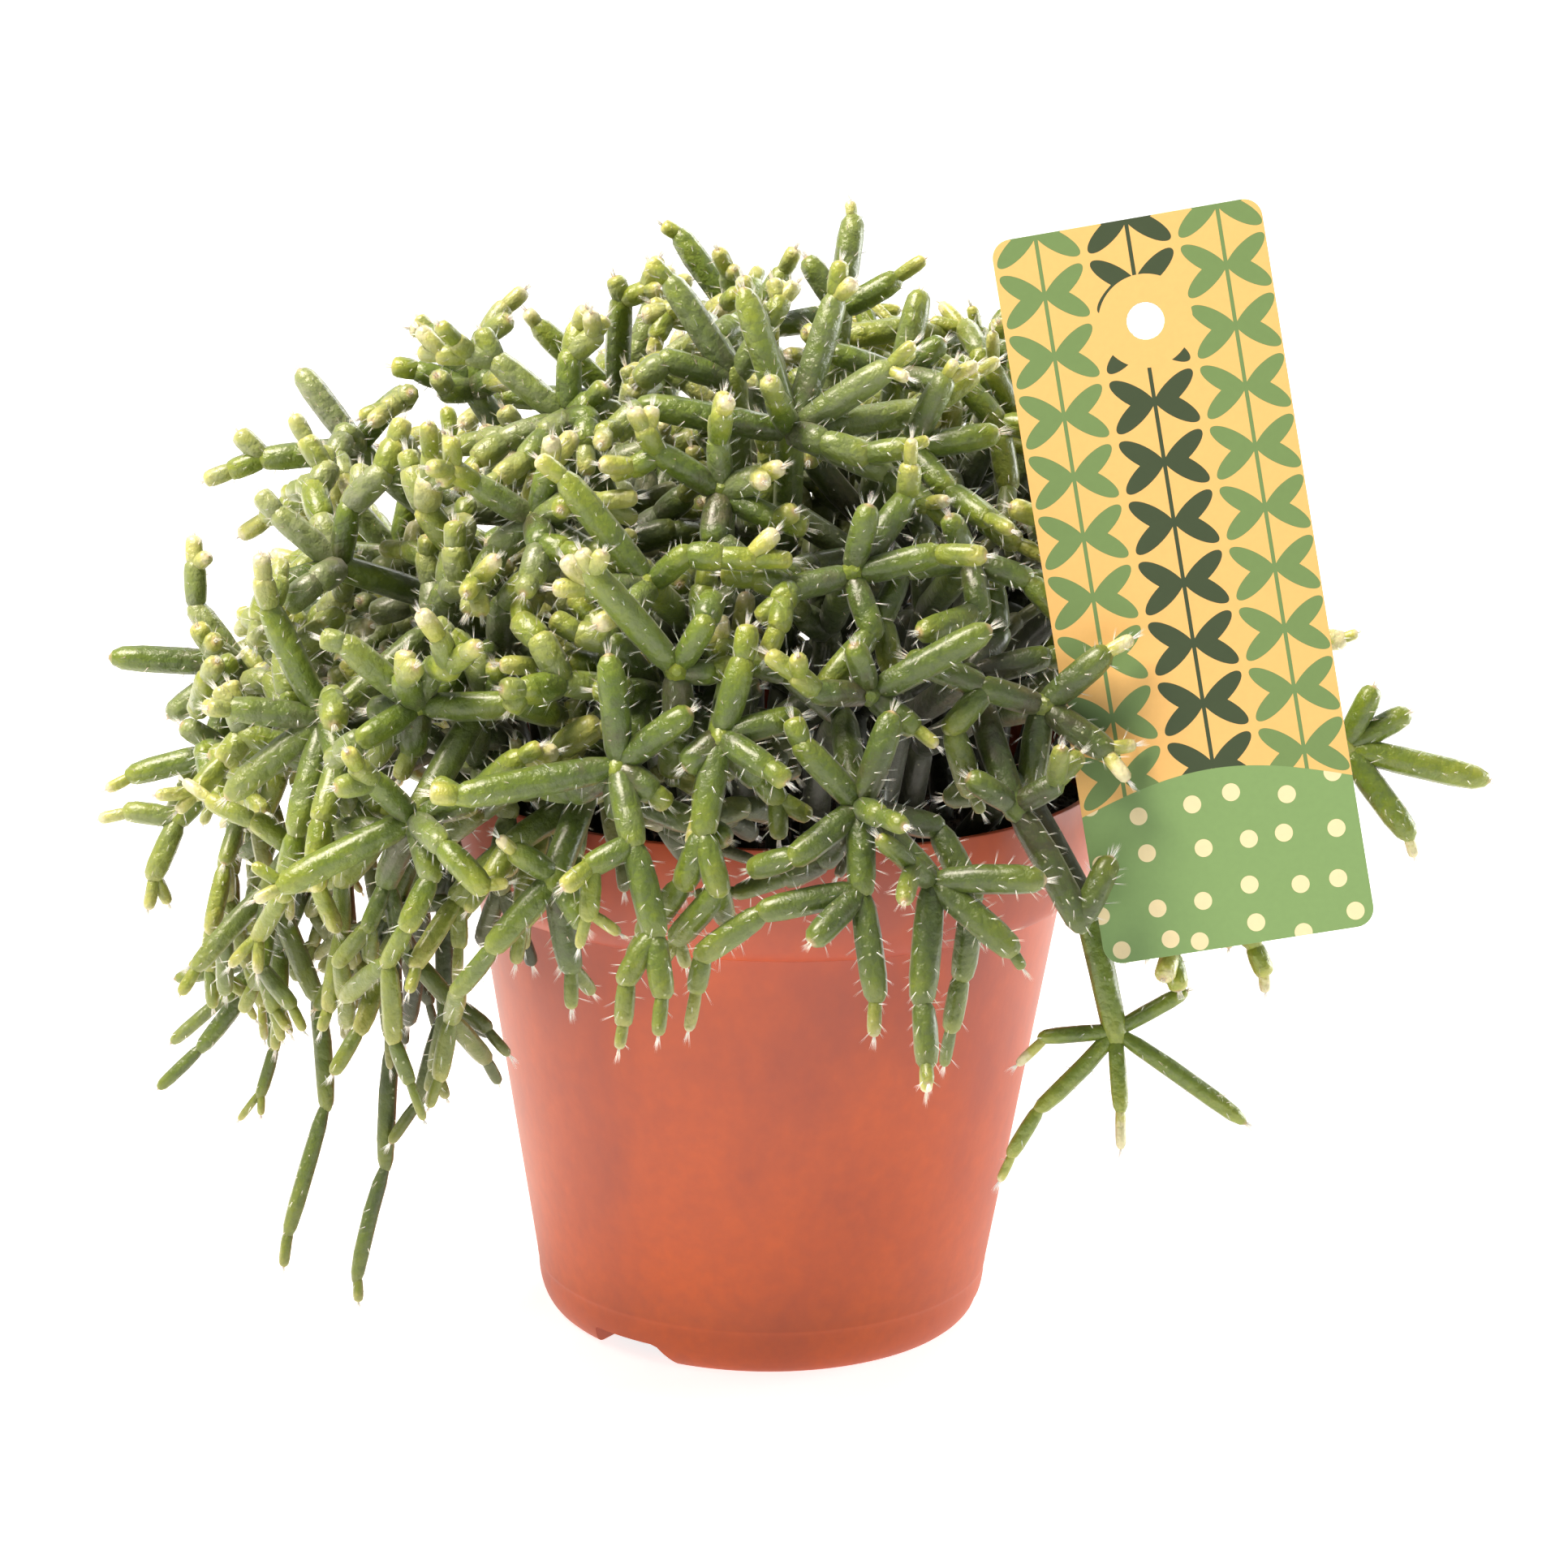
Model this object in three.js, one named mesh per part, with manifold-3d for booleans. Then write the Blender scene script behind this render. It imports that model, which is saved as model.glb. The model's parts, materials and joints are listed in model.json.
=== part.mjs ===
// A potted mistletoe cactus: a nursery pot, its soil, a care label and many rooted cuttings.
// Millimetres, +Z up. The origin is the middle of the pot's foot, on the surface it stands on,
// and -Y is the front. Angles are in degrees.

import * as THREE from 'three';
import { mergeVertices } from 'three/addons/utils/BufferGeometryUtils.js';
import Module from 'manifold-3d';

const wasm = await Module();
wasm.setup();

// ---------------------------------------------------------------- driving dimensions

const GAP = 0.3;                    // left between pieces that touch

const POT_HEIGHT = 102.5;
const POT_SIDES = 36;
const WALL = 1.4;
const FLOOR = 1.8;
const FOOT_RADIUS = 37.4;
const FOOT_ROUND = { out: 3.9, up: 8 };
const BODY_TOP_RADIUS = 53.2;       // under the collar
const COLLAR_Z = 81.5;
const COLLAR_STEP = 1.3;
const COLLAR_ROUND_TOP = 96;
const LIP_RADIUS = 60;
const DRAINS = { count: 3, first: -36, width: 19, height: 3.3, inset: 6 };

const SOIL_TOP = 95;
const SOIL_SIDES = 16;
const SOIL_BUMP = 1.3;
const HOLE_DEPTH = 7;
const HOLE_SLACK = 0.6;

const LABEL = {
  width: 43.4,
  height: 117.2,
  thick: 0.6,
  corner: 3.2,
  punch: { radius: 3, fromLeft: 22.5, fromTop: 16.5 },
  centre: new THREE.Vector3(65, -72, 151.7),
  azimuth: -6,
  tilt: 14,
  roll: 11.75,
};

const CROWN_CENTRE = new THREE.Vector3(0, 0, 100);
const CROWN_OUT = 98;               // from the centre to the whorls, level
const CROWN_UP = 84;                // the same, straight up
const FRONT_TILT = 15;              // how far the front frame of the hand-set joints leans back
const ROOT_DISC = 48;               // the roots stand within this radius
const STEM_RADIUS = 2.5;
const STEM_STEP = 30;               // one stem joint
const STEM_SIDES = 4;
const JOINT_SIDES = 4;
const JOINT_BASE_RADIUS = 1.9;      // a joint's radius is this plus a share of its length
const JOINT_GROWTH = 0.045;
const HANGING_SLIMNESS = 0.88;      // each step down a hanging chain
const STEM_CLEARANCE = 0.45;        // between joints of different cuttings
const OWN_CLOSENESS = 0.8;          // joints of one cutting may press together by the rest
const FLOOR_CLEARANCE = 3;
const CHECK_STEP = 1.5;
const CUTTING_LIMIT = 57;
const LOW_WHORL = 20;               // below this elevation a stem arches over the rim
const DROOPING_WHORL = 8;
const WHORL_SPACING = 27;
const WHORL_TURNS = 74;
const WHORL_HIGHEST = 0.97;         // sine of the elevation where the filling whorls start
const WHORL_SPAN = 1.2;             // and how far it falls
const WHORL_JOINTS = 6;
const SPARSE_SIDE = { from: 48, to: 135, reach: 0.88 };   // the whorls on the right reach less far out
const SHOOT_LIMIT = 80;
const SHOOT_STRIDE = 17;
const SHOOT_ABOVE_SOIL = 8;

// The whorls at the front and left, set by hand. A joint is [clock, length, lean, joints at its tip]:
// clock is its direction seen from the front, 0 up and 90 right, and lean is its turn to the front.
const WHORLS = [
  { az: -80, el: 3, joints: [[-105, 19, 0], [-135, 17, 10, [[-83, 10, 0], [-158, 12, 5]]], [-60, 10, 20]] },
  { az: -61, el: -6, joints: [[157, 22, 0, [[174, 20, 0, [[-165, 24, 0]]]]],
    [-140, 20, 10], [-170, 18, 20]] },
  { az: -51, el: -9, reach: 0.86, joints: [[177, 23, 0, [[-178, 23, 0, [[-167, 21, 0]]]]], [-149, 21, 5],
    [80, 11, 10, [[178, 20, 0, [[-166, 17, 0, [[-150, 9, 0]]], [115, 9, 0]]]]]] },
  { az: -80, el: -20, joints: [[-105, 18, 0], [-121, 27, 0, [[-135, 11, 0]]], [-142, 21, 10, [[-132, 13, 0]]],
    [180, 18, 5, [[-165, 10, 0]]], [-95, 14, 25]] },
  { az: 44, el: -19, reach: 0.93, joints: [[-96, 13, 0], [-127, 20, -5], [175, 14, 5],
    [124, 27, 0], [60, 14, 0]] },
  { az: 75, el: 7, reach: 1.07, joints: [[61, 13, 0], [102, 26, 0], [143, 20, 5], [30, 12, 10]] },
  { az: -52, el: 13, joints: [[-27, 22, 10], [-85, 17, 15], [-168, 21, 15], [-130, 21, 5], [25, 10, 60]] },
  { az: -39, el: 17, joints: [[-50, 17, 20], [25, 10, 35], [98, 19, 10], [-125, 13, 30]] },
  { az: 8.5, el: 11, joints: [[-45, 15, 15], [18, 16, 10], [115, 9, 65], [-129, 15, 20],
    [178, 15, 10, [[-103, 17, 5], [-118, 16, 10], [171, 18, 5]]],
    [135, 18, 5, [[88, 18, 10], [123, 18, 10], [-176, 20, 5, [[175, 11, 0]]], [-45, 7, 20]]]] },
  { az: -15, el: 14, joints: [[-102, 27, 10], [-6, 18, 10], [52, 15, 15],
    [167, 15, 25, [[165, 16, 0, [[-150, 10, 0], [175, 11, 0]]], [-120, 9, 10]]]] },
  { az: -5, el: 17.5, joints: [[-5, 16, 15], [84, 14, 5], [107, 13, 25], [-52, 12, 15],
    [-171, 17, 10, [[157, 11, 5], [-152, 12, 5]]]] },
  { az: 29, el: 20, joints: [[53, 17, -8], [117, 16, -4], [-156, 17, 10]] },
  { az: 2.5, el: 55, joints: [[-20, 25, 10], [13, 25, 0], [45, 22, 10], [68, 28, -5], [113, 19, 15],
    [-81, 26, 5], [-30, 12, 60], [96, 24, 0]] },
  { az: 9.5, el: 35, joints: [[75, 15, 10], [13, 12, 20], [-105, 12, 10], [160, 12, 20]] },
  { az: -36.5, el: 6, joints: [[-45, 12, 35], [-118, 25, 5], [160, 12, 25], [70, 12, 20]] },
  { az: -20.5, el: 3, joints: [[-58, 9, 25], [147, 10, 15], [-140, 16, 5]] },
  { az: -15, el: 33, joints: [[-40, 23, 10], [-95, 12, 25], [50, 10, 30]] },
  { az: -10, el: 24, joints: [[-50, 24, 15], [30, 11, 25], [110, 10, 20]] },
  { az: -21, el: 22, joints: [[-49, 21, 15], [-120, 12, 25], [60, 10, 30]] },
  { az: 10, el: 22, joints: [[60, 22, 10], [-20, 10, 35], [130, 12, 25]] },
  { az: -90, el: 38, reach: 1.04, joints: [[-38, 17, 5], [-99, 18, 10], [-150, 13, 25], [40, 12, 20]] },
  { az: -90, el: 10, reach: 1.01, joints: [[-38, 14, 5, [[-3, 9, 5]]], [-88, 23, 5], [-125, 16, 10]] },
  { az: 24, el: 10, joints: [[150, 23, 0, [[24, 12, 0]]], [-60, 10, 25], [60, 9, 20]] },
  { az: -12, el: 65, joints: [[-34, 21, 5], [-75, 14, 20], [30, 12, 10]] },
  { az: 50, el: 81, reach: 1.04, joints: [[7, 17, 0], [-35, 11, 10], [60, 12, 10]] },
  { az: 36, el: 66, joints: [[13, 15, 0], [35, 11, 5], [90, 13, 10]] },
  { az: -43, el: 54, joints: [[-52, 17, 5, [[-30, 6, 0], [-80, 6, 0]]], [0, 12, 10], [-110, 13, 15]] },
  { az: -90, el: 52, joints: [[-37, 14, 0], [-80, 12, 5], [10, 11, 0]] },
  { az: 25, el: 36, joints: [[97, 12, 10], [-28, 9, 30], [170, 11, 25]] },
  { az: -34, el: 39, joints: [[-60, 13, 20], [15, 11, 30], [120, 12, 20]] },
  { az: -64, el: 28, joints: [[-50, 15, 15], [10, 12, 20], [-110, 14, 20]] },
  { az: -8, el: 45, joints: [[115, 12, 15], [-60, 14, 20], [-5, 10, 25]] },
  { az: 24, el: 52, joints: [[80, 15, 5], [20, 14, 10], [140, 12, 25]] },
];

// ---------------------------------------------------------------- small helpers

const radians = THREE.MathUtils.degToRad;
const GOLDEN_ANGLE = radians(137.508);

// A repeatable stream of random numbers between two bounds.
function seededDraws(seed) {
  let state = seed;
  return (low, high) => {
    state = (state * 1664525 + 1013904223) % 4294967296;
    return low + (high - low) * state / 4294967296;
  };
}

// Azimuth 0 is the front, and it grows to the right.
function direction(azimuth, elevation) {
  const [az, el] = [radians(azimuth), radians(elevation)];
  return new THREE.Vector3(Math.sin(az) * Math.cos(el), -Math.cos(az) * Math.cos(el), Math.sin(el));
}

function solidFrom(geometry) {
  const bare = geometry.clone();
  bare.deleteAttribute('normal');
  bare.deleteAttribute('uv');
  const merged = mergeVertices(bare, 1e-4);
  const corners = [];
  for (let i = 0; i < merged.index.count; i += 3) {
    const [a, b, c] = [0, 1, 2].map((k) => merged.index.getX(i + k));
    if (a !== b && b !== c && c !== a) corners.push(a, b, c);
  }
  return new wasm.Manifold(new wasm.Mesh({
    numProp: 3,
    vertProperties: new Float32Array(merged.attributes.position.array),
    triVerts: new Uint32Array(corners),
  }));
}

// The largest body alone, so a sealed hollow is filled and a scrap is dropped.
function geometryFrom(solid) {
  const bodies = solid.decompose().sort((a, b) => b.volume() - a.volume());
  const { vertProperties, triVerts } = bodies[0].getMesh();
  const geometry = new THREE.BufferGeometry();
  geometry.setAttribute('position', new THREE.BufferAttribute(new Float32Array(vertProperties), 3));
  geometry.setIndex(new THREE.BufferAttribute(new Uint32Array(triVerts), 1));
  geometry.computeVertexNormals();
  return geometry;
}

function finish(colour, roughness) {
  return new THREE.MeshStandardMaterial({ color: colour, roughness, metalness: 0, flatShading: true });
}

function named(name, geometry, material) {
  const mesh = new THREE.Mesh(geometry, material);
  mesh.name = name;
  return mesh;
}

// ---------------------------------------------------------------- pot

// Points of a quarter of an ellipse, from level at the start to upright at the end.
function quarterRound(start, out, up, steps) {
  return Array.from({ length: steps + 1 }, (_, i) => {
    const turn = (i / steps) * Math.PI / 2;
    return new THREE.Vector2(start.x + out * Math.sin(turn), start.y + up * (1 - Math.cos(turn)));
  });
}

const COLLAR_INNER_RADIUS = BODY_TOP_RADIUS + COLLAR_STEP;
const COLLAR_ROUND = { out: LIP_RADIUS - COLLAR_INNER_RADIUS, up: COLLAR_ROUND_TOP - COLLAR_Z };

// The wall's inner face, from under the lip down to the axis, moved inwards and up by an inset.
function innerFace(inset) {
  const collarStart = new THREE.Vector2(COLLAR_INNER_RADIUS - WALL - inset, COLLAR_Z + WALL);
  const collar = quarterRound(collarStart, COLLAR_ROUND.out, COLLAR_ROUND.up, 2).reverse();
  return [
    ...collar,
    new THREE.Vector2(BODY_TOP_RADIUS - WALL - inset, COLLAR_Z - WALL),
    new THREE.Vector2(FOOT_RADIUS + FOOT_ROUND.out - WALL - inset, FOOT_ROUND.up + FLOOR),
    new THREE.Vector2(FOOT_RADIUS - WALL - inset, FLOOR + inset),
    new THREE.Vector2(0, FLOOR + inset),
  ];
}

function makePot() {
  const profile = [
    new THREE.Vector2(0, 0),
    ...quarterRound(new THREE.Vector2(FOOT_RADIUS, 0), FOOT_ROUND.out, FOOT_ROUND.up, 3),
    new THREE.Vector2(BODY_TOP_RADIUS, COLLAR_Z),
    ...quarterRound(new THREE.Vector2(COLLAR_INNER_RADIUS, COLLAR_Z), COLLAR_ROUND.out, COLLAR_ROUND.up, 3),
    new THREE.Vector2(LIP_RADIUS, POT_HEIGHT),
    new THREE.Vector2(LIP_RADIUS - WALL, POT_HEIGHT),
    ...innerFace(0),
  ];
  let pot = solidFrom(new THREE.LatheGeometry(profile, POT_SIDES).rotateX(Math.PI / 2));
  for (let i = 0; i < DRAINS.count; i += 1) {
    pot = pot.subtract(solidFrom(drainRecess(DRAINS.first + i * 360 / DRAINS.count)));
  }
  return named('pot', geometryFrom(pot), finish('#c4613f', 0.5));
}

// The recess under the base edge is a low block with sloping ends, set across the foot.
function drainRecess(azimuth) {
  const half = DRAINS.width / 2;
  const outline = new THREE.Shape([
    new THREE.Vector2(-half, -1),
    new THREE.Vector2(half, -1),
    new THREE.Vector2(half - DRAINS.height, DRAINS.height),
    new THREE.Vector2(-half + 1, DRAINS.height),
  ]);
  const depth = FOOT_ROUND.out + DRAINS.inset + 2;
  const block = new THREE.ExtrudeGeometry(outline, { depth, bevelEnabled: false });
  block.rotateX(Math.PI / 2);
  block.translate(0, -(FOOT_RADIUS - DRAINS.inset), 0);
  return block.rotateZ(radians(azimuth));
}

// ---------------------------------------------------------------- care label

const labelNormal = direction(LABEL.azimuth, LABEL.tilt);
const labelFrame = new THREE.Matrix4()
  .makeBasis(
    new THREE.Vector3(Math.cos(radians(LABEL.azimuth)), Math.sin(radians(LABEL.azimuth)), 0),
    direction(LABEL.azimuth, LABEL.tilt + 90),
    labelNormal,
  )
  .multiply(new THREE.Matrix4().makeRotationZ(radians(LABEL.roll)))
  .setPosition(LABEL.centre);
const intoLabel = labelFrame.clone().invert();

function makeLabel() {
  const { width, height, thick, corner, punch } = LABEL;
  const [right, top] = [width / 2, height / 2];
  const outline = new THREE.Shape()
    .moveTo(-right + corner, -top)
    .lineTo(right - corner, -top)
    .absarc(right - corner, -top + corner, corner, -Math.PI / 2, 0)
    .lineTo(right, top - corner)
    .absarc(right - corner, top - corner, corner, 0, Math.PI / 2)
    .lineTo(-right + corner, top)
    .absarc(-right + corner, top - corner, corner, Math.PI / 2, Math.PI)
    .lineTo(-right, -top + corner)
    .absarc(-right + corner, -top + corner, corner, Math.PI, Math.PI * 1.5);
  const punched = new THREE.Path();
  punched.absarc(-right + punch.fromLeft, top - punch.fromTop, punch.radius, 0, Math.PI * 2);
  outline.holes.push(punched);
  const card = new THREE.ExtrudeGeometry(outline, { depth: thick, bevelEnabled: false, curveSegments: 4 });
  card.translate(0, 0, -thick / 2);
  const label = named('care_label', geometryFrom(solidFrom(card)), finish('#f2c877', 0.45));
  label.applyMatrix4(labelFrame);
  return label;
}

// ---------------------------------------------------------------- growth of the plant

const placed = [];                  // every joint so far: { cutting, from, to, radius }

function distanceToJoint(point, from, to) {
  const along = to.clone().sub(from);
  const share = THREE.MathUtils.clamp(point.clone().sub(from).dot(along) / along.lengthSq(), 0, 1);
  return point.distanceTo(from.clone().addScaledVector(along, share));
}

// The shortest distance between the middle lines of two joints.
function distanceBetween(a, b, c, d) {
  const u = b.clone().sub(a);
  const v = d.clone().sub(c);
  const w = a.clone().sub(c);
  const [uu, uv, vv, uw, vw] = [u.dot(u), u.dot(v), v.dot(v), u.dot(w), v.dot(w)];
  const parallel = uu * vv - uv * uv;
  const s = (uv * vw - vv * uw) / parallel;
  const t = (uu * vw - uv * uw) / parallel;
  if (s > 0 && s < 1 && t > 0 && t < 1) return w.addScaledVector(u, s).addScaledVector(v, -t).length();
  return Math.min(
    distanceToJoint(a, c, d),
    distanceToJoint(b, c, d),
    distanceToJoint(c, a, b),
    distanceToJoint(d, a, b),
  );
}

function potRadiusAt(z) {
  if (z > COLLAR_Z - STEM_RADIUS) return LIP_RADIUS;
  const share = Math.max(z - FOOT_ROUND.up, 0) / (COLLAR_Z - FOOT_ROUND.up);
  return THREE.MathUtils.lerp(FOOT_RADIUS + FOOT_ROUND.out, BODY_TOP_RADIUS, share);
}

function clearOfHolders(point, radius, isStem) {
  const margin = radius + STEM_CLEARANCE;
  if (point.z < margin + FLOOR_CLEARANCE) return false;
  const reach = Math.hypot(point.x, point.y);
  if (point.z < POT_HEIGHT + margin && reach < potRadiusAt(point.z) + margin) {
    if (reach > LIP_RADIUS - WALL - margin) return false;
    if (!isStem && point.z < SOIL_TOP + SOIL_BUMP + margin) return false;
  }
  const local = point.clone().applyMatrix4(intoLabel);
  const beyond = new THREE.Vector3(
    Math.max(Math.abs(local.x) - LABEL.width / 2, 0),
    Math.max(Math.abs(local.y) - LABEL.height / 2, 0),
    Math.max(Math.abs(local.z) - LABEL.thick / 2, 0),
  );
  return beyond.length() > margin;
}

function fits(cutting, parent, from, to, radius) {
  const length = from.distanceTo(to);
  const middle = from.clone().lerp(to, 0.5);
  const isStem = parent === null;
  const checks = Math.ceil(length / CHECK_STEP);
  for (let i = 0; i <= checks; i += 1) {
    if (!clearOfHolders(from.clone().lerp(to, i / checks), radius, isStem)) return false;
  }
  return placed.every((other) => {
    const own = other.cutting === cutting;
    if (own && (isStem || isAt(parent, other))) return true;
    const apart = own ? OWN_CLOSENESS * (radius + other.radius) : radius + other.radius + STEM_CLEARANCE;
    if (other.middle.distanceTo(middle) > (length + other.length) / 2 + apart) return true;
    return distanceBetween(from, to, other.from, other.to) > apart;
  });
}

// True of what meets a joint grown from this parent: the parent, what it bears and the stem's next piece.
function isAt(parent, other) {
  return other === parent || other.parent === parent || other === parent.above;
}

function place(cutting, parent, from, to, radius) {
  const length = from.distanceTo(to);
  const along = to.clone().sub(from).divideScalar(length);
  const middle = from.clone().lerp(to, 0.5);
  placed.push({ cutting, parent, from, to, radius, length, along, middle });
  return placed.at(-1);
}

// A joint is tried where it should grow, then turned aside and shortened little by little.
const TRIES = 56;
const TURN_STEP = 4.5;
const SHORTEST_SHARE = 0.6;
const JOINT_SINK = 1.6;             // a joint starts this far inside its parent's tip
const LEAST_FORK = Math.cos(radians(38));
const SHARPEST_TURN = Math.cos(radians(140));

function growJoint(parent, heading, length, radius) {
  const { cutting } = parent;
  const from = parent.to.clone().addScaledVector(parent.along, -JOINT_SINK);
  const side = new THREE.Vector3(0.31, 0.57, 0.76).cross(heading).normalize();
  for (let attempt = 0; attempt < TRIES; attempt += 1) {
    const turned = heading.clone()
      .applyAxisAngle(side, radians(TURN_STEP * Math.sqrt(attempt)))
      .applyAxisAngle(heading, attempt * GOLDEN_ANGLE);
    const to = from.clone().addScaledVector(turned, length * (1 - (1 - SHORTEST_SHARE) * attempt / TRIES));
    const siblings = placed.filter((other) => other !== parent && isAt(parent, other));
    const forked = siblings.every((other) => other.along.dot(turned) < LEAST_FORK)
      && parent.along.dot(turned) > SHARPEST_TURN;
    if (forked && fits(cutting, parent, from, to, radius)) return place(cutting, parent, from, to, radius);
  }
  return null;
}

function crownPoint(az, el, reach = 1) {
  const out = Math.cos(radians(el)) / CROWN_OUT;
  const up = Math.sin(radians(el)) / CROWN_UP;
  return CROWN_CENTRE.clone().addScaledVector(direction(az, el), reach / Math.hypot(out, up));
}

// A stem rises straight from the soil, arches over the rim where its whorl is low, and ends at
// the whorl. Its root, its arch and then its side are changed until it clears the others.
const STEM_TRIES = 260;

function growStem(cutting, whorl) {
  const hub = crownPoint(whorl.az, whorl.el, whorl.reach);
  const outward = direction(whorl.az, 0);
  const rootReach = ROOT_DISC * Math.cos(radians(THREE.MathUtils.clamp(whorl.el, 0, 88))) ** 0.8;
  for (let attempt = 0; attempt < STEM_TRIES; attempt += 1) {
    const aside = 1.3 * Math.sqrt(attempt);
    const root = outward.clone().multiplyScalar(rootReach);
    root.x += aside * Math.cos(attempt * GOLDEN_ANGLE);
    root.y += aside * Math.sin(attempt * GOLDEN_ANGLE);
    root.setLength(Math.min(root.length(), ROOT_DISC));
    root.z = SOIL_TOP - HOLE_DEPTH + GAP;
    const ground = root.clone().setZ(SOIL_TOP + SOIL_BUMP + 1);
    const arch = Math.max(26, 0.45 * root.distanceTo(hub)) * (1 + 0.1 * (attempt % 5));
    const overRim = whorl.el < LOW_WHORL ? 26 + 5 * (attempt % 4) : 0;
    const back = direction(whorl.az, Math.max(whorl.el, 0)).multiplyScalar(whorl.el < LOW_WHORL ? 8 : 24);
    const curve = new THREE.CubicBezierCurve3(
      ground,
      ground.clone().add(new THREE.Vector3(0, 0, arch)),
      hub.clone().sub(back).add(new THREE.Vector3(0, 0, overRim)),
      hub,
    );
    const steps = Math.max(Math.ceil(curve.getLength() / STEM_STEP), 2);
    const points = [root, ...curve.getSpacedPoints(steps)];
    const clear = points.slice(1).every((point, i) => fits(cutting, null, points[i], point, STEM_RADIUS));
    if (clear && rootIsFree(root)) {
      const pieces = points.slice(1).map((point, i) => place(cutting, null, points[i], point, STEM_RADIUS));
      pieces.slice(0, -1).forEach((piece, i) => Object.assign(piece, { above: pieces[i + 1] }));
      return { whorl, root, points, top: pieces.at(-1), bends: pieces.slice(0, -1) };
    }
  }
  return null;
}

const roots = [];
const ROOT_SPACING = 2 * (STEM_RADIUS + HOLE_SLACK) + 0.8;

function rootIsFree(root) {
  if (roots.some((other) => other.distanceTo(root) < ROOT_SPACING)) return false;
  roots.push(root);
  return true;
}

// The hand-set whorls come first, then the rest of the crown is filled from the top down.
function whorlPlan() {
  const draw = seededDraws(20461);
  const plan = [...WHORLS];
  for (let i = 0; i < WHORL_TURNS && plan.length < CUTTING_LIMIT; i += 1) {
    const el = THREE.MathUtils.radToDeg(Math.asin(WHORL_HIGHEST - WHORL_SPAN * i / WHORL_TURNS));
    const az = THREE.MathUtils.radToDeg(i * GOLDEN_ANGLE) % 360;
    const sparse = az > SPARSE_SIDE.from && az < SPARSE_SIDE.to;
    const whorl = { az: az + draw(-4, 4), el: el + draw(-4, 4), reach: draw(0.9, 1.02) };
    if (sparse) whorl.reach *= SPARSE_SIDE.reach;
    const point = crownPoint(whorl.az, whorl.el);
    const free = plan.every((other) => crownPoint(other.az, other.el).distanceTo(point) > WHORL_SPACING);
    if (free) plan.push(whorl);
  }
  return plan;
}

function jointRadius(length, stepsDown = 0) {
  return (JOINT_BASE_RADIUS + JOINT_GROWTH * length) * HANGING_SLIMNESS ** stepsDown;
}

// A hand-set joint and the joints at its tip, headed as the front frame says.
function growSetJoint(parent, [clock, length, lean, tips = []], stepsDown) {
  const flat = Math.cos(radians(lean));
  const heading = new THREE.Vector3(flat * Math.sin(radians(clock)), 0, 0)
    .addScaledVector(direction(0, FRONT_TILT + 90), flat * Math.cos(radians(clock)))
    .addScaledVector(direction(0, FRONT_TILT), Math.sin(radians(lean)));
  const joint = growJoint(parent, heading, length, jointRadius(length, stepsDown));
  if (joint) tips.forEach((tip) => growSetJoint(joint, tip, stepsDown && stepsDown + 1));
}

// A whorl by rule: joints spread round the way out, raised on the crown and drooping below it.
function growWhorl(top, { az, el }, count, draw) {
  const outward = direction(az, el);
  const start = draw(0, 360);
  for (let i = 0; i < count; i += 1) {
    const splay = radians(i % 2 ? draw(62, 82) : draw(34, 56));
    const clock = radians(start + (i + draw(-0.2, 0.2)) * 360 / count);
    const heading = outward.clone().multiplyScalar(Math.cos(splay))
      .addScaledVector(direction(az, el + 90), Math.sin(splay) * Math.cos(clock))
      .addScaledVector(direction(az + 90, 0), Math.sin(splay) * Math.sin(clock))
      .addScaledVector(new THREE.Vector3(0, 0, 1), el < DROOPING_WHORL ? draw(-0.6, -0.2) : draw(0, 0.25))
      .normalize();
    const length = draw(13, 25);
    growJoint(top, heading, length, jointRadius(length, el < 0 ? 1 : 0));
  }
}

// Side joints on the bends of the stems fill the crown from within.
function growShoots(bends, draw) {
  const grown = bends.filter((bend) => bend.to.z > SOIL_TOP + SHOOT_ABOVE_SOIL);
  let made = 0;
  for (let i = 0; i < 2 * grown.length && made < SHOOT_LIMIT; i += 1) {
    const bend = grown[(i * SHOOT_STRIDE) % grown.length];
    const side = new THREE.Vector3(draw(-1, 1), draw(-1, 1), draw(-1, 1)).cross(bend.along).normalize();
    const heading = bend.along.clone().applyAxisAngle(side, radians(draw(45, 80)));
    const length = draw(14, 23);
    if (growJoint(bend, heading, length, jointRadius(length))) made += 1;
  }
}

function growPlant() {
  const stems = whorlPlan().map((whorl, i) => growStem(i, whorl)).filter(Boolean);
  const draw = seededDraws(7719);
  const setByHand = stems.filter(({ whorl }) => whorl.joints);
  const byRule = stems.filter(({ whorl }) => !whorl.joints);
  setByHand.forEach(({ top, whorl }) => {
    const stepsDown = whorl.el < 0 ? 1 - whorl.el / 10 : 0;
    whorl.joints.forEach((joint) => growSetJoint(top, joint, stepsDown));
  });
  byRule.forEach(({ top, whorl }) => growWhorl(top, whorl, WHORL_JOINTS, draw));
  growShoots(stems.flatMap(({ bends }) => bends), draw);
  return stems;
}

// ---------------------------------------------------------------- solids of the plant

// A joint is waisted where it grows from its parent, fullest in the middle and blunt at its tip.
const JOINT_PROFILE = [[0, 0], [1, 0.26], [0.9, 0.88], [0, 1]];

function jointSolid({ from, along, length, radius }) {
  const profile = JOINT_PROFILE.map(([out, up]) => new THREE.Vector2(out * radius, up * length));
  const geometry = new THREE.LatheGeometry(profile, JOINT_SIDES);
  const turn = new THREE.Quaternion().setFromUnitVectors(new THREE.Vector3(0, 1, 0), along);
  geometry.applyQuaternion(turn).translate(from.x, from.y, from.z);
  return solidFrom(geometry);
}

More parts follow.
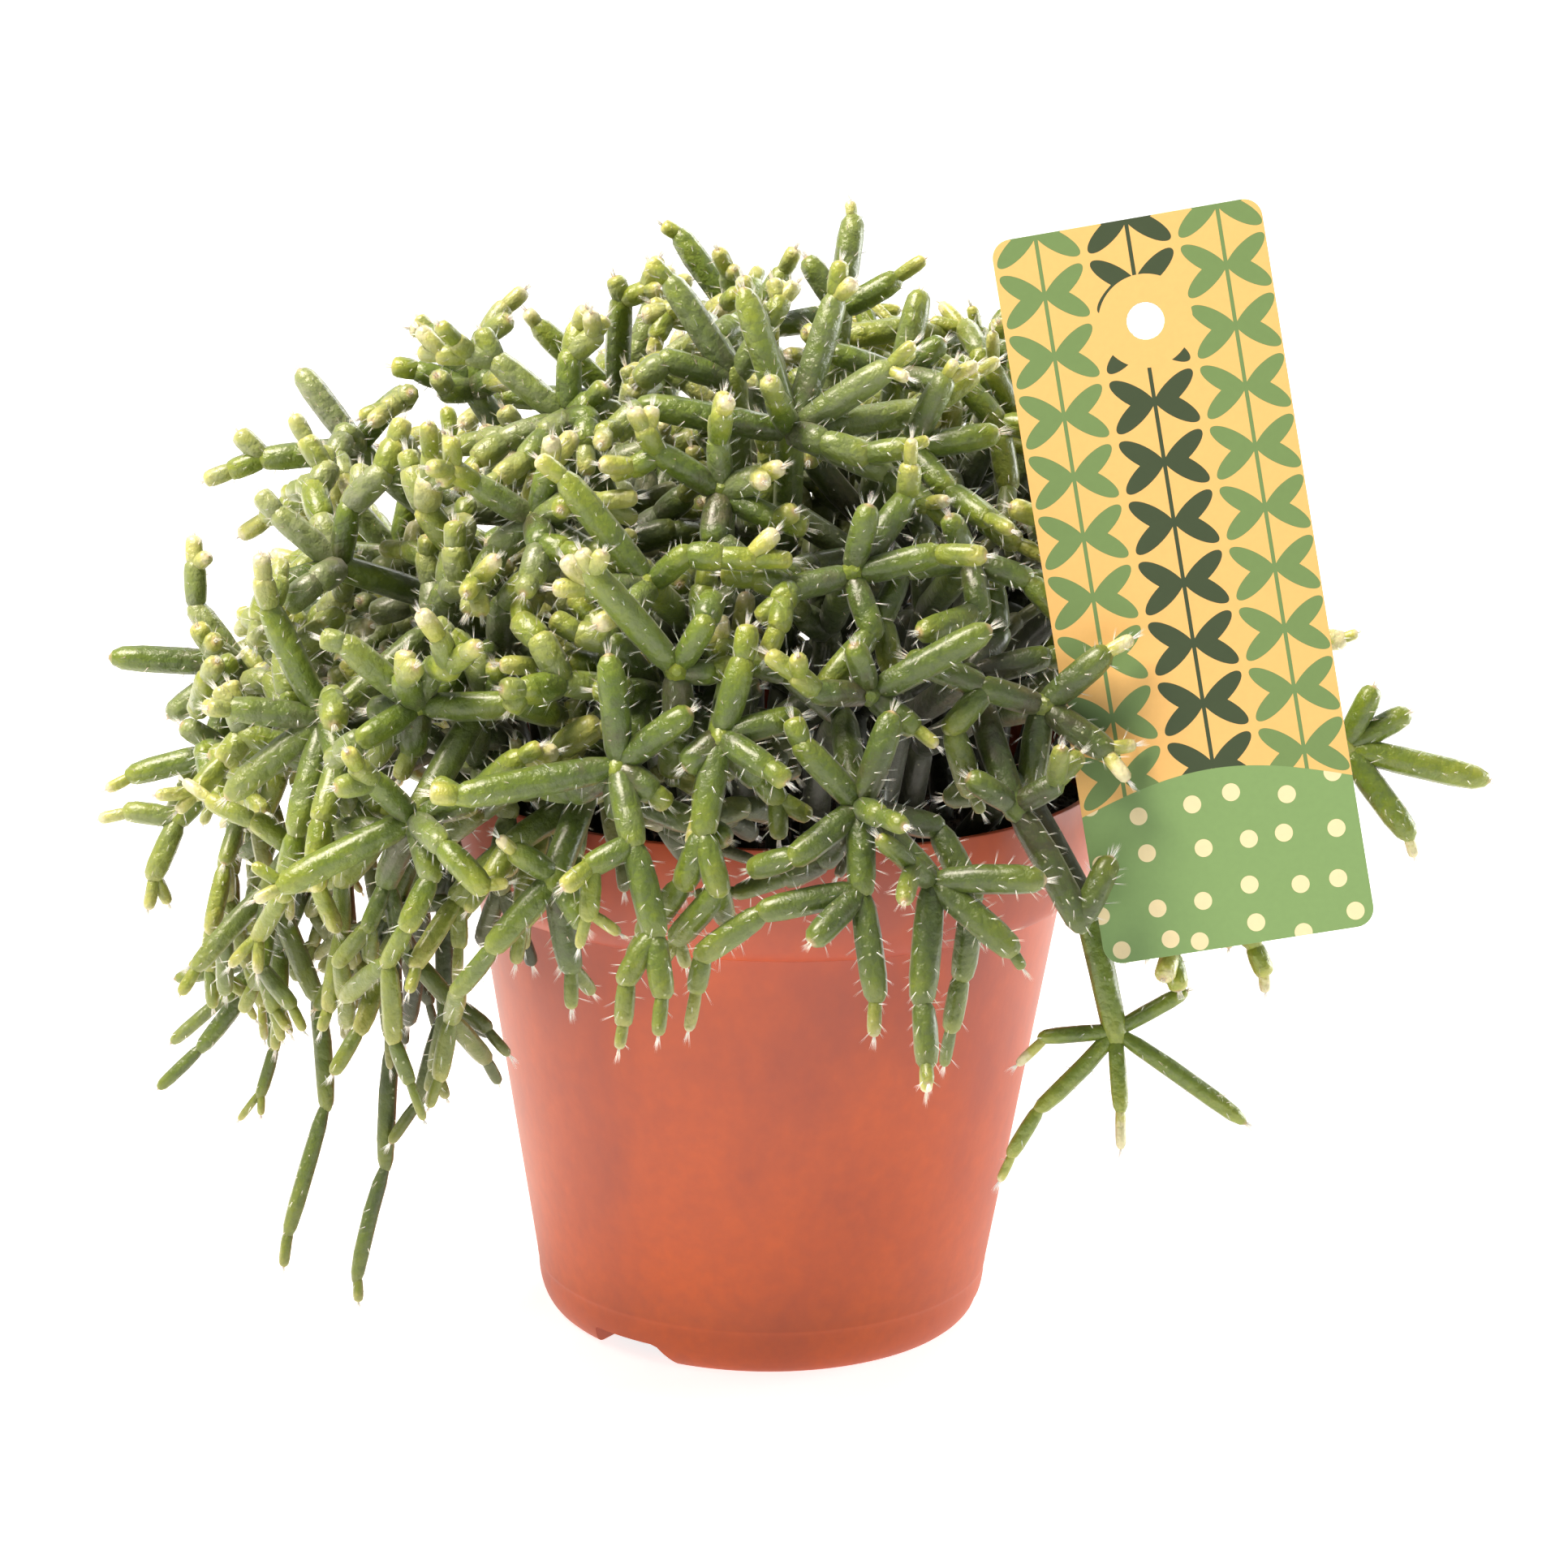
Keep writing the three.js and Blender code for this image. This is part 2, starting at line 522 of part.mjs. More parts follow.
function polygon(radius, sides) {
  return new THREE.Shape(Array.from({ length: sides }, (_, i) => {
    const turn = (i / sides) * Math.PI * 2;
    return new THREE.Vector2(radius * Math.cos(turn), radius * Math.sin(turn));
  }));
}

// A cylinder whose rings are carried, without twist, from one point of the stem to the next.
function stemSolid({ points }) {
  const spans = points.length - 1;
  const tube = new THREE.CylinderGeometry(STEM_RADIUS, STEM_RADIUS, spans, STEM_SIDES, spans);
  let across = new THREE.Vector3(1, 0, 0);
  const rings = points.map((point, i) => {
    const along = points[Math.min(i + 1, spans)].clone().sub(points[Math.max(i - 1, 0)]).normalize();
    across = across.clone().addScaledVector(along, -across.dot(along)).normalize();
    return new THREE.Matrix4().makeBasis(across, along, across.clone().cross(along)).setPosition(point);
  });
  const { position } = tube.attributes;
  const corner = new THREE.Vector3();
  for (let i = 0; i < position.count; i += 1) {
    corner.fromBufferAttribute(position, i);
    const ring = Math.round(corner.y + spans / 2);
    corner.setY(0).applyMatrix4(rings[ring]);
    position.setXYZ(i, corner.x, corner.y, corner.z);
  }
  return solidFrom(tube);
}

function makeCutting(stem, number) {
  let plant = stemSolid(stem);
  for (const joint of placed) {
    if (joint.cutting === stem.top.cutting && joint.parent) plant = plant.add(jointSolid(joint));
  }
  const name = `cutting_${String(number + 1).padStart(2, '0')}`;
  return named(name, geometryFrom(plant.simplify(0.02)), finish('#5e7f3a', 0.45));
}

// ---------------------------------------------------------------- soil

// The top is raked into low humps, and each cutting stands in a plain hole.
function makeSoil(stems) {
  const draw = seededDraws(3307);
  const edge = SOIL_TOP - SOIL_BUMP;
  const wall = innerFace(GAP).reverse().filter((point) => point.y < edge);
  const brim = wall.at(-1).x;
  const top = [0.8, 0.5, 0.25, 0].map((share) => new THREE.Vector2(share * brim, SOIL_TOP));
  const profile = [...wall, new THREE.Vector2(brim, edge), ...top];
  const bare = new THREE.LatheGeometry(profile, SOIL_SIDES).rotateX(Math.PI / 2);
  bare.deleteAttribute('normal');
  bare.deleteAttribute('uv');
  const body = mergeVertices(bare, 1e-4);
  const { position } = body.attributes;
  for (let i = 0; i < position.count; i += 1) {
    if (position.getZ(i) > SOIL_TOP - 0.1) position.setZ(i, SOIL_TOP + draw(-SOIL_BUMP, SOIL_BUMP));
  }
  let soil = solidFrom(body);
  for (const { root } of stems) {
    const hole = new THREE.ExtrudeGeometry(polygon(STEM_RADIUS + HOLE_SLACK, STEM_SIDES), {
      depth: 2 * HOLE_DEPTH,
      bevelEnabled: false,
    });
    hole.translate(root.x, root.y, SOIL_TOP - HOLE_DEPTH);
    soil = soil.subtract(solidFrom(hole));
  }
  return named('soil', geometryFrom(soil), finish('#2a2430', 0.95));
}

// ---------------------------------------------------------------- assembly

const cactus = new THREE.Group();
const stems = growPlant();
cactus.add(makePot(), makeSoil(stems), makeLabel());
stems.forEach((stem, i) => cactus.add(makeCutting(stem, i)));

export default cactus;
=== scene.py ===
"""A potted mistletoe cactus: nursery pot, potting soil, care label and many rooted cuttings.

Growth is worked out in millimetres, as the part is, and each mesh is scaled to metres when it is made.
-Y is the front, +Z is up, and the origin is the middle of the pot's foot.
"""

import json
import math
from functools import partial

import bmesh
import bpy
import numpy as np
from mathutils import Matrix, Vector

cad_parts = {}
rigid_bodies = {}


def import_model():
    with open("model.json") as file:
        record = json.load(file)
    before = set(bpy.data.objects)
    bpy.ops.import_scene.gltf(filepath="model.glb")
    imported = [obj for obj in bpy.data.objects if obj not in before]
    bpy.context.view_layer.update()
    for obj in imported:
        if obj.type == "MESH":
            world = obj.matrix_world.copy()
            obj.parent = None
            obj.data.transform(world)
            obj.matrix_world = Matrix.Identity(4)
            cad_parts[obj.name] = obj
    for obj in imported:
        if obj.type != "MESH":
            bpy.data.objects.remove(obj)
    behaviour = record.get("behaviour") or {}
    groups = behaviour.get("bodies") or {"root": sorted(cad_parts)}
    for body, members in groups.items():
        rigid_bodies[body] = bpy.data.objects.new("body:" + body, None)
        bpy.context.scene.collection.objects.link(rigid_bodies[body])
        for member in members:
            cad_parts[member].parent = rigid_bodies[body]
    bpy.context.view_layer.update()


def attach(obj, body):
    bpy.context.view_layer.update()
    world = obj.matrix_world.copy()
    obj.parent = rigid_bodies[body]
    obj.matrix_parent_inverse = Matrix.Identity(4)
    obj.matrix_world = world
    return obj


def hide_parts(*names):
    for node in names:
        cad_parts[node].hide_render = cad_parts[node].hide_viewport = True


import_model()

MM = 0.001

# ------------------------------------------------------------------------------------------------ pot
# A 12 cm nursery pot: one thin shell of terracotta-coloured polypropylene, injection-moulded in one shot.
# Its collar flares out to a flat lip, a parting line runs round above the foot, and the base edge is
# notched so that water drains away. It stands free and carries the soil.

POT_HEIGHT = 102.5
POT_SIDES = 128
WALL = 1.4
FLOOR = 1.8
FOOT_RADIUS = 37.4
FOOT_ROUND = (3.9, 8.0)  # out and up
BODY_TOP_RADIUS = 53.2  # under the collar
COLLAR_Z = 81.5
COLLAR_STEP = 1.3
COLLAR_ROUND_TOP = 96.0
LIP_RADIUS = 60.0
LIP_EDGE = 0.45  # rounding of the lip's two edges
PARTING_LINE = {"z": 8.6, "height": 0.5, "out": 0.05}
DRAINS = {"count": 3, "first": -34.5, "width": 19, "height": 4.0, "inset": 6, "slope": 1.4, "round": 0.4}
CRISP_EDGE = math.radians(32)  # edges sharper than this aren't shaded smooth


def linear(hex_colour):
    """An sRGB hex colour as linear RGBA."""
    parts = [int(hex_colour[i : i + 2], 16) / 255 for i in (1, 3, 5)]
    return (*(c / 12.92 if c <= 0.04045 else ((c + 0.055) / 1.055) ** 2.4 for c in parts), 1.0)


def feed(node, *values, **named):
    """Fills a node's inputs, in their order or by name with _ for a space. A value is a number, a vector, a
    hex colour, a socket, or a node whose first output is meant. A list holds several for one input."""
    sockets = [socket for socket in node.inputs if socket.enabled]
    sockets = sockets[: len(values)] + [node.inputs[name.replace("_", " ")] for name in named]
    for socket, given in zip(sockets, (*values, *named.values())):
        for value in given if isinstance(given, list) else [given]:
            if isinstance(value, bpy.types.Node):
                value = next(output for output in value.outputs if output.enabled)
            if isinstance(value, bpy.types.NodeSocket):
                node.id_data.links.new(value, socket)
            else:
                socket.default_value = linear(value) if str(value).startswith("#") else value


def add_node(tree, kind, *values, **named):
    """Adds a node. Names in lower case are the node's own settings, and the rest are inputs."""
    families = ("ShaderNode", "GeometryNode", "FunctionNode", "")
    made = tree.nodes.new(next(family + kind for family in families if hasattr(bpy.types, family + kind)))
    for name in filter(str.islower, named):
        setattr(made, name, named[name])
    feed(made, *values, **{name: value for name, value in named.items() if not name.islower()})
    return made


def set_stops(ramp, stops):
    """Gives a colour ramp its stops, hex colours by their places from 0 to 1."""
    elements = ramp.color_ramp.elements
    elements.remove(elements[-1])
    for i, (place, colour) in enumerate(stops.items()):
        element = elements[0] if i == 0 else elements.new(place)
        element.position = place
        element.color = linear(colour)
    return ramp


def new_material(name):
    """A material, what adds nodes to it, its shader and its Object coordinates."""
    material = bpy.data.materials.new(name)
    material.use_nodes = True
    add = partial(add_node, material.node_tree)
    return material, add, material.node_tree.nodes["Principled BSDF"], add("TexCoord").outputs["Object"]


def quarter_round(start, out, up, steps):
    """Points of a quarter of an ellipse, from level at the start to upright at the end."""
    turns = [i / steps * math.pi / 2 for i in range(steps + 1)]
    return [(start[0] + out * math.sin(t), start[1] + up * (1 - math.cos(t))) for t in turns]


def turned_mesh(name, profile, sides):
    """A closed mesh turned about Z from a profile of (radius, height) that starts and ends on the axis."""
    points, faces, low = [], [], None
    for radius, height in profile:
        angles = [2 * math.pi * k / sides for k in range(sides if radius > 0 else 1)]
        high = [len(points) + k % len(angles) for k in range(sides + 1)]
        points += [(radius * math.cos(a) * MM, radius * math.sin(a) * MM, height * MM) for a in angles]
        for k in range(sides) if low else ():
            faces.append(list(dict.fromkeys((low[k], low[k + 1], high[k + 1], high[k]))))
        low = high
    mesh = bpy.data.meshes.new(name)
    mesh.from_pydata(points, [], faces)
    return mesh


def new_object(name, data):
    made = bpy.data.objects.new(name, data)
    bpy.context.scene.collection.objects.link(made)
    return made


def as_plain_mesh(source, name):
    """The evaluated form of an object as an object of its own, with the source removed."""
    evaluated = source.evaluated_get(bpy.context.evaluated_depsgraph_get())
    mesh = bpy.data.meshes.new_from_object(evaluated)
    mesh.name = name
    bpy.data.objects.remove(source)
    return new_object(name, mesh)


def give_materials(piece, *materials):
    piece.data.materials.clear()
    for material in materials:
        piece.data.materials.append(material)


collar_inner = BODY_TOP_RADIUS + COLLAR_STEP
collar_round = (LIP_RADIUS - collar_inner, COLLAR_ROUND_TOP - COLLAR_Z)
foot_top_radius = FOOT_RADIUS + FOOT_ROUND[0]


def inner_face(inset, steps):
    """The wall's inner face, from under the lip down to the axis, moved inwards and up by an inset."""
    collar_start = (collar_inner - WALL - inset, COLLAR_Z + WALL)
    return quarter_round(collar_start, *collar_round, steps)[::-1] + [
        (BODY_TOP_RADIUS - WALL - inset, COLLAR_Z - WALL),
        (foot_top_radius - WALL - inset, FOOT_ROUND[1] + FLOOR),
        (FOOT_RADIUS - WALL - inset, FLOOR + inset),
        (0, FLOOR + inset),
    ]


def body_radius(z):
    """The outer radius of the straight body between the foot and the collar."""
    share = (z - FOOT_ROUND[1]) / (COLLAR_Z - FOOT_ROUND[1])
    return foot_top_radius + share * (BODY_TOP_RADIUS - foot_top_radius)


def pot_profile():
    line_low = PARTING_LINE["z"]
    line_top = line_low + PARTING_LINE["height"]
    lip_edge = [(0, 1), (0.3, 0.3), (1, 0)]  # in and down, as shares of its rounding
    return [
        (0, 0),
        *quarter_round((FOOT_RADIUS, 0), *FOOT_ROUND, 10),
        (body_radius(line_low), line_low),
        (body_radius(line_low) + PARTING_LINE["out"], line_low + 0.1),
        (body_radius(line_top) + PARTING_LINE["out"], line_top),
        *((body_radius(z), z) for z in np.linspace(line_top + 0.1, COLLAR_Z - 0.6, 10)),
        (BODY_TOP_RADIUS, COLLAR_Z - 0.3),
        (BODY_TOP_RADIUS + 0.3, COLLAR_Z),
        *quarter_round((collar_inner, COLLAR_Z), *collar_round, 14),
        *((LIP_RADIUS - a * LIP_EDGE, POT_HEIGHT - b * LIP_EDGE) for a, b in lip_edge),
        *((LIP_RADIUS - WALL + a * LIP_EDGE, POT_HEIGHT - b * LIP_EDGE) for a, b in lip_edge[::-1]),
        *inner_face(0, 10),
    ]


def drain_cutter(azimuth):
    """A low block with a sloping end, set across the foot, which leaves one notch in the base edge."""
    half, height, inset = DRAINS["width"] / 2, DRAINS["height"], DRAINS["inset"]
    shoulder = height - DRAINS["round"]
    outline = [(-half, -1), (half, -1), (half - height, shoulder), (half - height - 1.2, height)]
    outline += [(-half + DRAINS["slope"], height), (-half + 1, shoulder)]
    inner = -(FOOT_RADIUS - inset)
    outer = inner - FOOT_ROUND[0] - inset - 2
    points = [(x * MM, y * MM, z * MM) for y in (inner, outer) for x, z in outline]
    count = len(outline)
    walls = [(k, (k + 1) % count, (k + 1) % count + count, k + count) for k in range(count)]
    mesh = bpy.data.meshes.new("drain_cutter")
    mesh.from_pydata(points, [], [range(count - 1, -1, -1), range(count, 2 * count), *walls])
    mesh.transform(Matrix.Rotation(math.radians(azimuth), 4, "Z"))
    return new_object("drain_cutter", mesh)


def moulded_polypropylene():
    """Polypropylene, injection-moulded: the melt's colour runs in faint clouds, and the wall darkens to
    brown upwards, which is painted shade under the overhanging plant. The skin is satin with an orange peel,
    drawn coarser than it is so that it shows, and light passes a little way into the thin wall."""
    material, add, shader, place = new_material("moulded terracotta polypropylene")
    height = add("SeparateXYZ", place).outputs["Z"]
    upright = add("Mapping", Vector=place, Scale=(1.0, 1.0, 0.6))
    clouds = add("TexNoise", Vector=upright, Scale=1 / (22 * MM), Detail=5.0, Roughness=0.6)
    flecks = add("TexNoise", Vector=place, Scale=1 / (2.5 * MM), Detail=3.0)
    # Painted shade: the wall is painted darker and browner from 15 mm up to under the collar, for the
    # overhanging plant's shade.
    rise = add("MapRange", Value=height, From_Min=15 * MM, From_Max=88 * MM, To_Max=0.62)
    swing = add("Math", clouds, 1.4, -0.55, operation="MULTIPLY_ADD")
    clouds_and_painted_shade = add("Math", rise, swing, operation="ADD", use_clamp=True)
    colour = set_stops(
        add("ValToRGB", clouds_and_painted_shade), {0.0: "#D8622A", 0.4: "#C65A30", 0.75: "#AB4E35", 1.0: "#934639"}
    )
    fleck = add("Math", flecks, 0.5, -0.1, operation="MULTIPLY_ADD", use_clamp=True)
    speckled = add("Mix", fleck, colour, "#9C4835", data_type="RGBA")
    peel = add("TexNoise", Vector=place, Scale=1 / (0.9 * MM), Detail=2.0)
    bump = add("Bump", Height=peel, Strength=0.12, Distance=0.1 * MM)
    feed(shader, Base_Color=speckled, Normal=bump, Roughness=0.42, IOR=1.49)
    feed(shader, Subsurface_Weight=0.12, Subsurface_Radius=(1.0, 0.35, 0.2), Subsurface_Scale=1.5 * MM)
    return material


shell = new_object("pot_shell", turned_mesh("pot_shell", pot_profile(), POT_SIDES))
cutters = [drain_cutter(DRAINS["first"] + 360 / DRAINS["count"] * i) for i in range(DRAINS["count"])]
for cutter in cutters:
    notch = shell.modifiers.new("notch", "BOOLEAN")
    notch.operation = "DIFFERENCE"
    notch.solver = "EXACT"
    notch.object = cutter
pot = as_plain_mesh(shell, "nursery_pot")
for cutter in cutters:
    bpy.data.objects.remove(cutter)
give_materials(pot, moulded_polypropylene())
pot.data.shade_smooth()
pot.data.set_sharp_from_angle(angle=CRISP_EDGE)
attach(pot, "root")
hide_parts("pot")

# ----------------------------------------------------------------------------------------------- soil
# Potting mix: dark peat with bark crumbs, pressed into the pot by hand to just under the lip.
# It is one loose-grained body, raked into low humps, and the cuttings stand in it.

SOIL_TOP = 95.0
SOIL_BUMP = 1.3
SOIL_SETTLED = 0.4  # below its nominal top
SOIL_INSET = 0.3  # clear of the pot's wall
SOIL_RINGS = 22
SOIL_SIDES = 96
CRUMB_SPACING = 1.5
CRUMB_SIZE = (0.7, 2.1)  # across, the finest and the coarsest
CRUMB_SQUASH = ((0.7, 0.6, 0.45), (1.3, 1.0, 0.9))  # the flattest and the fullest
CRUMB_DENT = 1.1
FULL_TURN = 6.28


def soil_mesh():
    """The soil's body: its wall follows the pot, and its top is humped by slow waves."""
    wall = [point for point in inner_face(SOIL_INSET, 10)[::-1] if point[1] < SOIL_TOP - SOIL_BUMP]
    brim = wall[-1][0]
    top = [(brim * k / SOIL_RINGS, SOIL_TOP) for k in range(SOIL_RINGS, -1, -1)]
    mesh = turned_mesh("soil_body", wall + top, SOIL_SIDES)
    for vertex in mesh.vertices:
        x, y, z = vertex.co / MM
        if z > SOIL_TOP - 0.1:
            wave = math.sin(x / 7.1) * math.cos(y / 8.3) + 0.6 * math.sin(x / 3.7 + y / 4.9)
            edge = min(1, (brim - math.hypot(x, y)) / 3)  # the humps die away in the last 3 mm
            vertex.co.z += (0.6 * SOIL_BUMP * wave * edge - SOIL_SETTLED) * MM
    return mesh


def new_tree(name, **inputs):
    """A geometry tree, what adds nodes to it, and its inputs, named with _ for a space and of a type."""
    tree = bpy.data.node_groups.new(name, "GeometryNodeTree")
    for label, kind in inputs.items():
        tree.interface.new_socket(label.replace("_", " "), in_out="INPUT", socket_type="NodeSocket" + kind)
    tree.interface.new_socket("Result", in_out="OUTPUT", socket_type="NodeSocketGeometry")
    add = partial(add_node, tree)
    return tree, add, add("NodeGroupInput").outputs


def crumbs_tree():
    """Joins crumbs to the top of the body, each a squashed, turned and dented grain."""
    tree, add, given = new_tree(
        "soil crumbs", Body="Geometry", Spacing="Float", Finest="Float", Coarsest="Float", Soil="Material"
    )
    upward = add("SeparateXYZ", add("InputNormal")).outputs["Z"]
    on_top = add("Compare", upward, 0.6, data_type="FLOAT", operation="GREATER_THAN")
    points = add(
        "DistributePointsOnFaces",
        Mesh=given["Body"],
        Selection=on_top,
        Distance_Min=given["Spacing"],
        Density_Max=9e5,
        Seed=11,
        distribute_method="POISSON",
    )
    grain = add("MeshIcoSphere", Radius=0.5, Subdivisions=1)
    size = add("RandomValue", given["Finest"], given["Coarsest"], Seed=3)
    squash = add("RandomValue", *CRUMB_SQUASH, Seed=4, data_type="FLOAT_VECTOR")
    scale = add("VectorMath", squash, size, operation="SCALE")
    turn = add("RandomValue", (0, 0, 0), (FULL_TURN,) * 3, Seed=5, data_type="FLOAT_VECTOR")
    grains = add("InstanceOnPoints", Points=points, Instance=grain, Rotation=turn, Scale=scale)
    loose = add("RealizeInstances", grains)
    dents = add("TexNoise", Scale=1 / (0.8 * MM), Detail=1.0).outputs["Color"]
    shift = add("VectorMath", dents, (0.5, 0.5, 0.5), operation="SUBTRACT")
    reach = add("VectorMath", shift, CRUMB_DENT * MM, operation="SCALE")
    dented = add("SetPosition", Geometry=loose, Offset=reach)
    both = add("JoinGeometry", [given["Body"], dented])
    add("NodeGroupOutput", add("SetMaterial", both, Material=given["Soil"]))
    return tree


def damp_potting_soil():
    """Peat and bark, milled and damp: nearly black, with browner bark crumbs, and quite matt."""
    material, add, shader, place = new_material("damp peat potting soil")
    cells = add("TexVoronoi", Vector=place, Scale=1 / (2.2 * MM)).outputs["Color"]
    colour = set_stops(
        add("ValToRGB", cells), {0.0: "#17130F", 0.5: "#261D17", 0.82: "#3A2A1E", 1.0: "#5A4531"}
    )
    fibres = add("TexNoise", Vector=place, Scale=1 / (0.5 * MM), Detail=4.0)
    bump = add("Bump", Height=fibres, Strength=0.7, Distance=0.4 * MM)
    feed(shader, Base_Color=colour, Normal=bump, Roughness=0.93, IOR=1.4)
    return material


def run_tree(host, tree, name, **values):
    """Runs a geometry tree on an object with its inputs set, and gives the result as a plain mesh object."""
    modifier = host.modifiers.new(tree.name, "NODES")
    modifier.node_group = tree
    for item in tree.interface.items_tree:
        key = item.name.replace(" ", "_")
        if item.in_out == "INPUT" and key in values:
            modifier[item.identifier] = values[key]
    return as_plain_mesh(host, name)


soil = run_tree(
    new_object("soil_body", soil_mesh()),
    crumbs_tree(),
    "potting_soil",
    Spacing=CRUMB_SPACING * MM,
    Finest=CRUMB_SIZE[0] * MM,
    Coarsest=CRUMB_SIZE[1] * MM,
    Soil=damp_potting_soil(),
)
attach(soil, "root")
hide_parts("soil")

# ----------------------------------------------------------------------------------------- care label
# A printed plastic card, cut from white sheet with rounded corners and a punched hole, and tucked upright
# among the stems at the front right. The print is one pass of flat inks on its faces; the cut edge is bare.

LABEL_WIDTH = 43.4
LABEL_HEIGHT = 117.2
LABEL_THICK = 0.6
LABEL_CENTRE = (65.0, -72.0, 151.7)
LABEL_AZIMUTH = -6
LABEL_TILT = 14
LABEL_ROLL = math.radians(11.75)
LABEL_CORNER = 3.0
LABEL_EDGE = 0.06  # the cut edge's rounding
PUNCHED_HOLE = {"x": 22.5, "down": 16.5, "radius": 3.0, "clear": 7.5}
PRINT_CELL = (14.6, 19.5)  # one sprig's share of the card, across and up
PRINT_LEAF = {"out": 3.2, "up": 1.4, "turn": 38, "length": 4.3, "width": 1.55}
PRINT_TWIG = 0.32  # half its width
PRINT_BAND = {"height": 24, "swell": 4.5}
PRINT_DISCS = {"spacing": 7.5, "radius": 0.19}  # the radius is a share of the spacing


def direction(azimuth, elevation):
    """Azimuth 0 is the front, and it grows to the right."""
    az, el = math.radians(azimuth), math.radians(elevation)
    return np.array((math.sin(az) * math.cos(el), -math.cos(az) * math.cos(el), math.sin(el)))


def unit(vector):
    return vector / np.linalg.norm(vector)


def spun(vector, axis, angle):
    """The vector turned about an axis of length 1."""
    sine, cosine = math.sin(angle), math.cos(angle)
    return vector * cosine + np.cross(axis, vector) * sine + axis * (axis @ vector) * (1 - cosine)


label_normal = direction(LABEL_AZIMUTH, LABEL_TILT)
label_level = (direction(LABEL_AZIMUTH + 90, 0), direction(LABEL_AZIMUTH, LABEL_TILT + 90))
label_axes = np.array([*(spun(axis, label_normal, LABEL_ROLL) for axis in label_level), label_normal])


def arc_points(x, y, radius, start, stop, steps):
    turns = [math.radians(start + (stop - start) * k / steps) for k in range(steps + 1)]
    return [(x + radius * math.cos(t), y + radius * math.sin(t)) for t in turns]


def card_outlines():
    """The card's edge and its hole, in mm from the card's middle."""
    x, y = LABEL_WIDTH / 2 - LABEL_CORNER, LABEL_HEIGHT / 2 - LABEL_CORNER
    corners = ((x, y, 0), (-x, y, 90), (-x, -y, 180), (x, -y, 270))
    radius = LABEL_CORNER - LABEL_EDGE
    edge = [point for cx, cy, turn in corners for point in arc_points(cx, cy, radius, turn, turn + 90, 8)]
    hole = (PUNCHED_HOLE["x"] - LABEL_WIDTH / 2, LABEL_HEIGHT / 2 - PUNCHED_HOLE["down"])
    return edge, arc_points(*hole, PUNCHED_HOLE["radius"] + LABEL_EDGE, 0, 345, 23)


def card_mesh():
    """The card cut out flat, given its print's coordinates in mm, and then moved to where it stands."""
    curve = bpy.data.curves.new("card", "CURVE")
    curve.dimensions = "2D"
    curve.fill_mode = "BOTH"
    curve.extrude = (LABEL_THICK / 2 - LABEL_EDGE) * MM
    curve.bevel_depth = LABEL_EDGE * MM
    curve.bevel_resolution = 1
    for outline in card_outlines():
        spline = curve.splines.new("POLY")
        spline.points.add(len(outline) - 1)
        for point, (x, y) in zip(spline.points, outline):
            point.co = (x * MM, y * MM, 0, 1)
        spline.use_cyclic_u = True
    card = as_plain_mesh(new_object("card", curve), "care_label")
    bpy.data.curves.remove(curve)
    form = bmesh.new()
    form.from_mesh(card.data)
    bmesh.ops.remove_doubles(form, verts=form.verts, dist=0.001 * MM)
    bmesh.ops.recalc_face_normals(form, faces=form.faces)
    layer = form.loops.layers.uv.new("print")
    for face in form.faces:
        face.material_index = 0 if abs(face.normal.z) > 0.95 else 1
        for loop in face.loops:
            across = loop.vert.co.x if face.normal.z > 0 else -loop.vert.co.x
            loop[layer].uv = (across / MM + LABEL_WIDTH / 2, loop.vert.co.y / MM + LABEL_HEIGHT / 2)
    form.to_mesh(card.data)
    form.free()
    turn = Matrix(label_axes.T.tolist()).to_4x4()
    card.data.transform(Matrix.Translation(Vector(LABEL_CENTRE) * MM) @ turn)
    return card


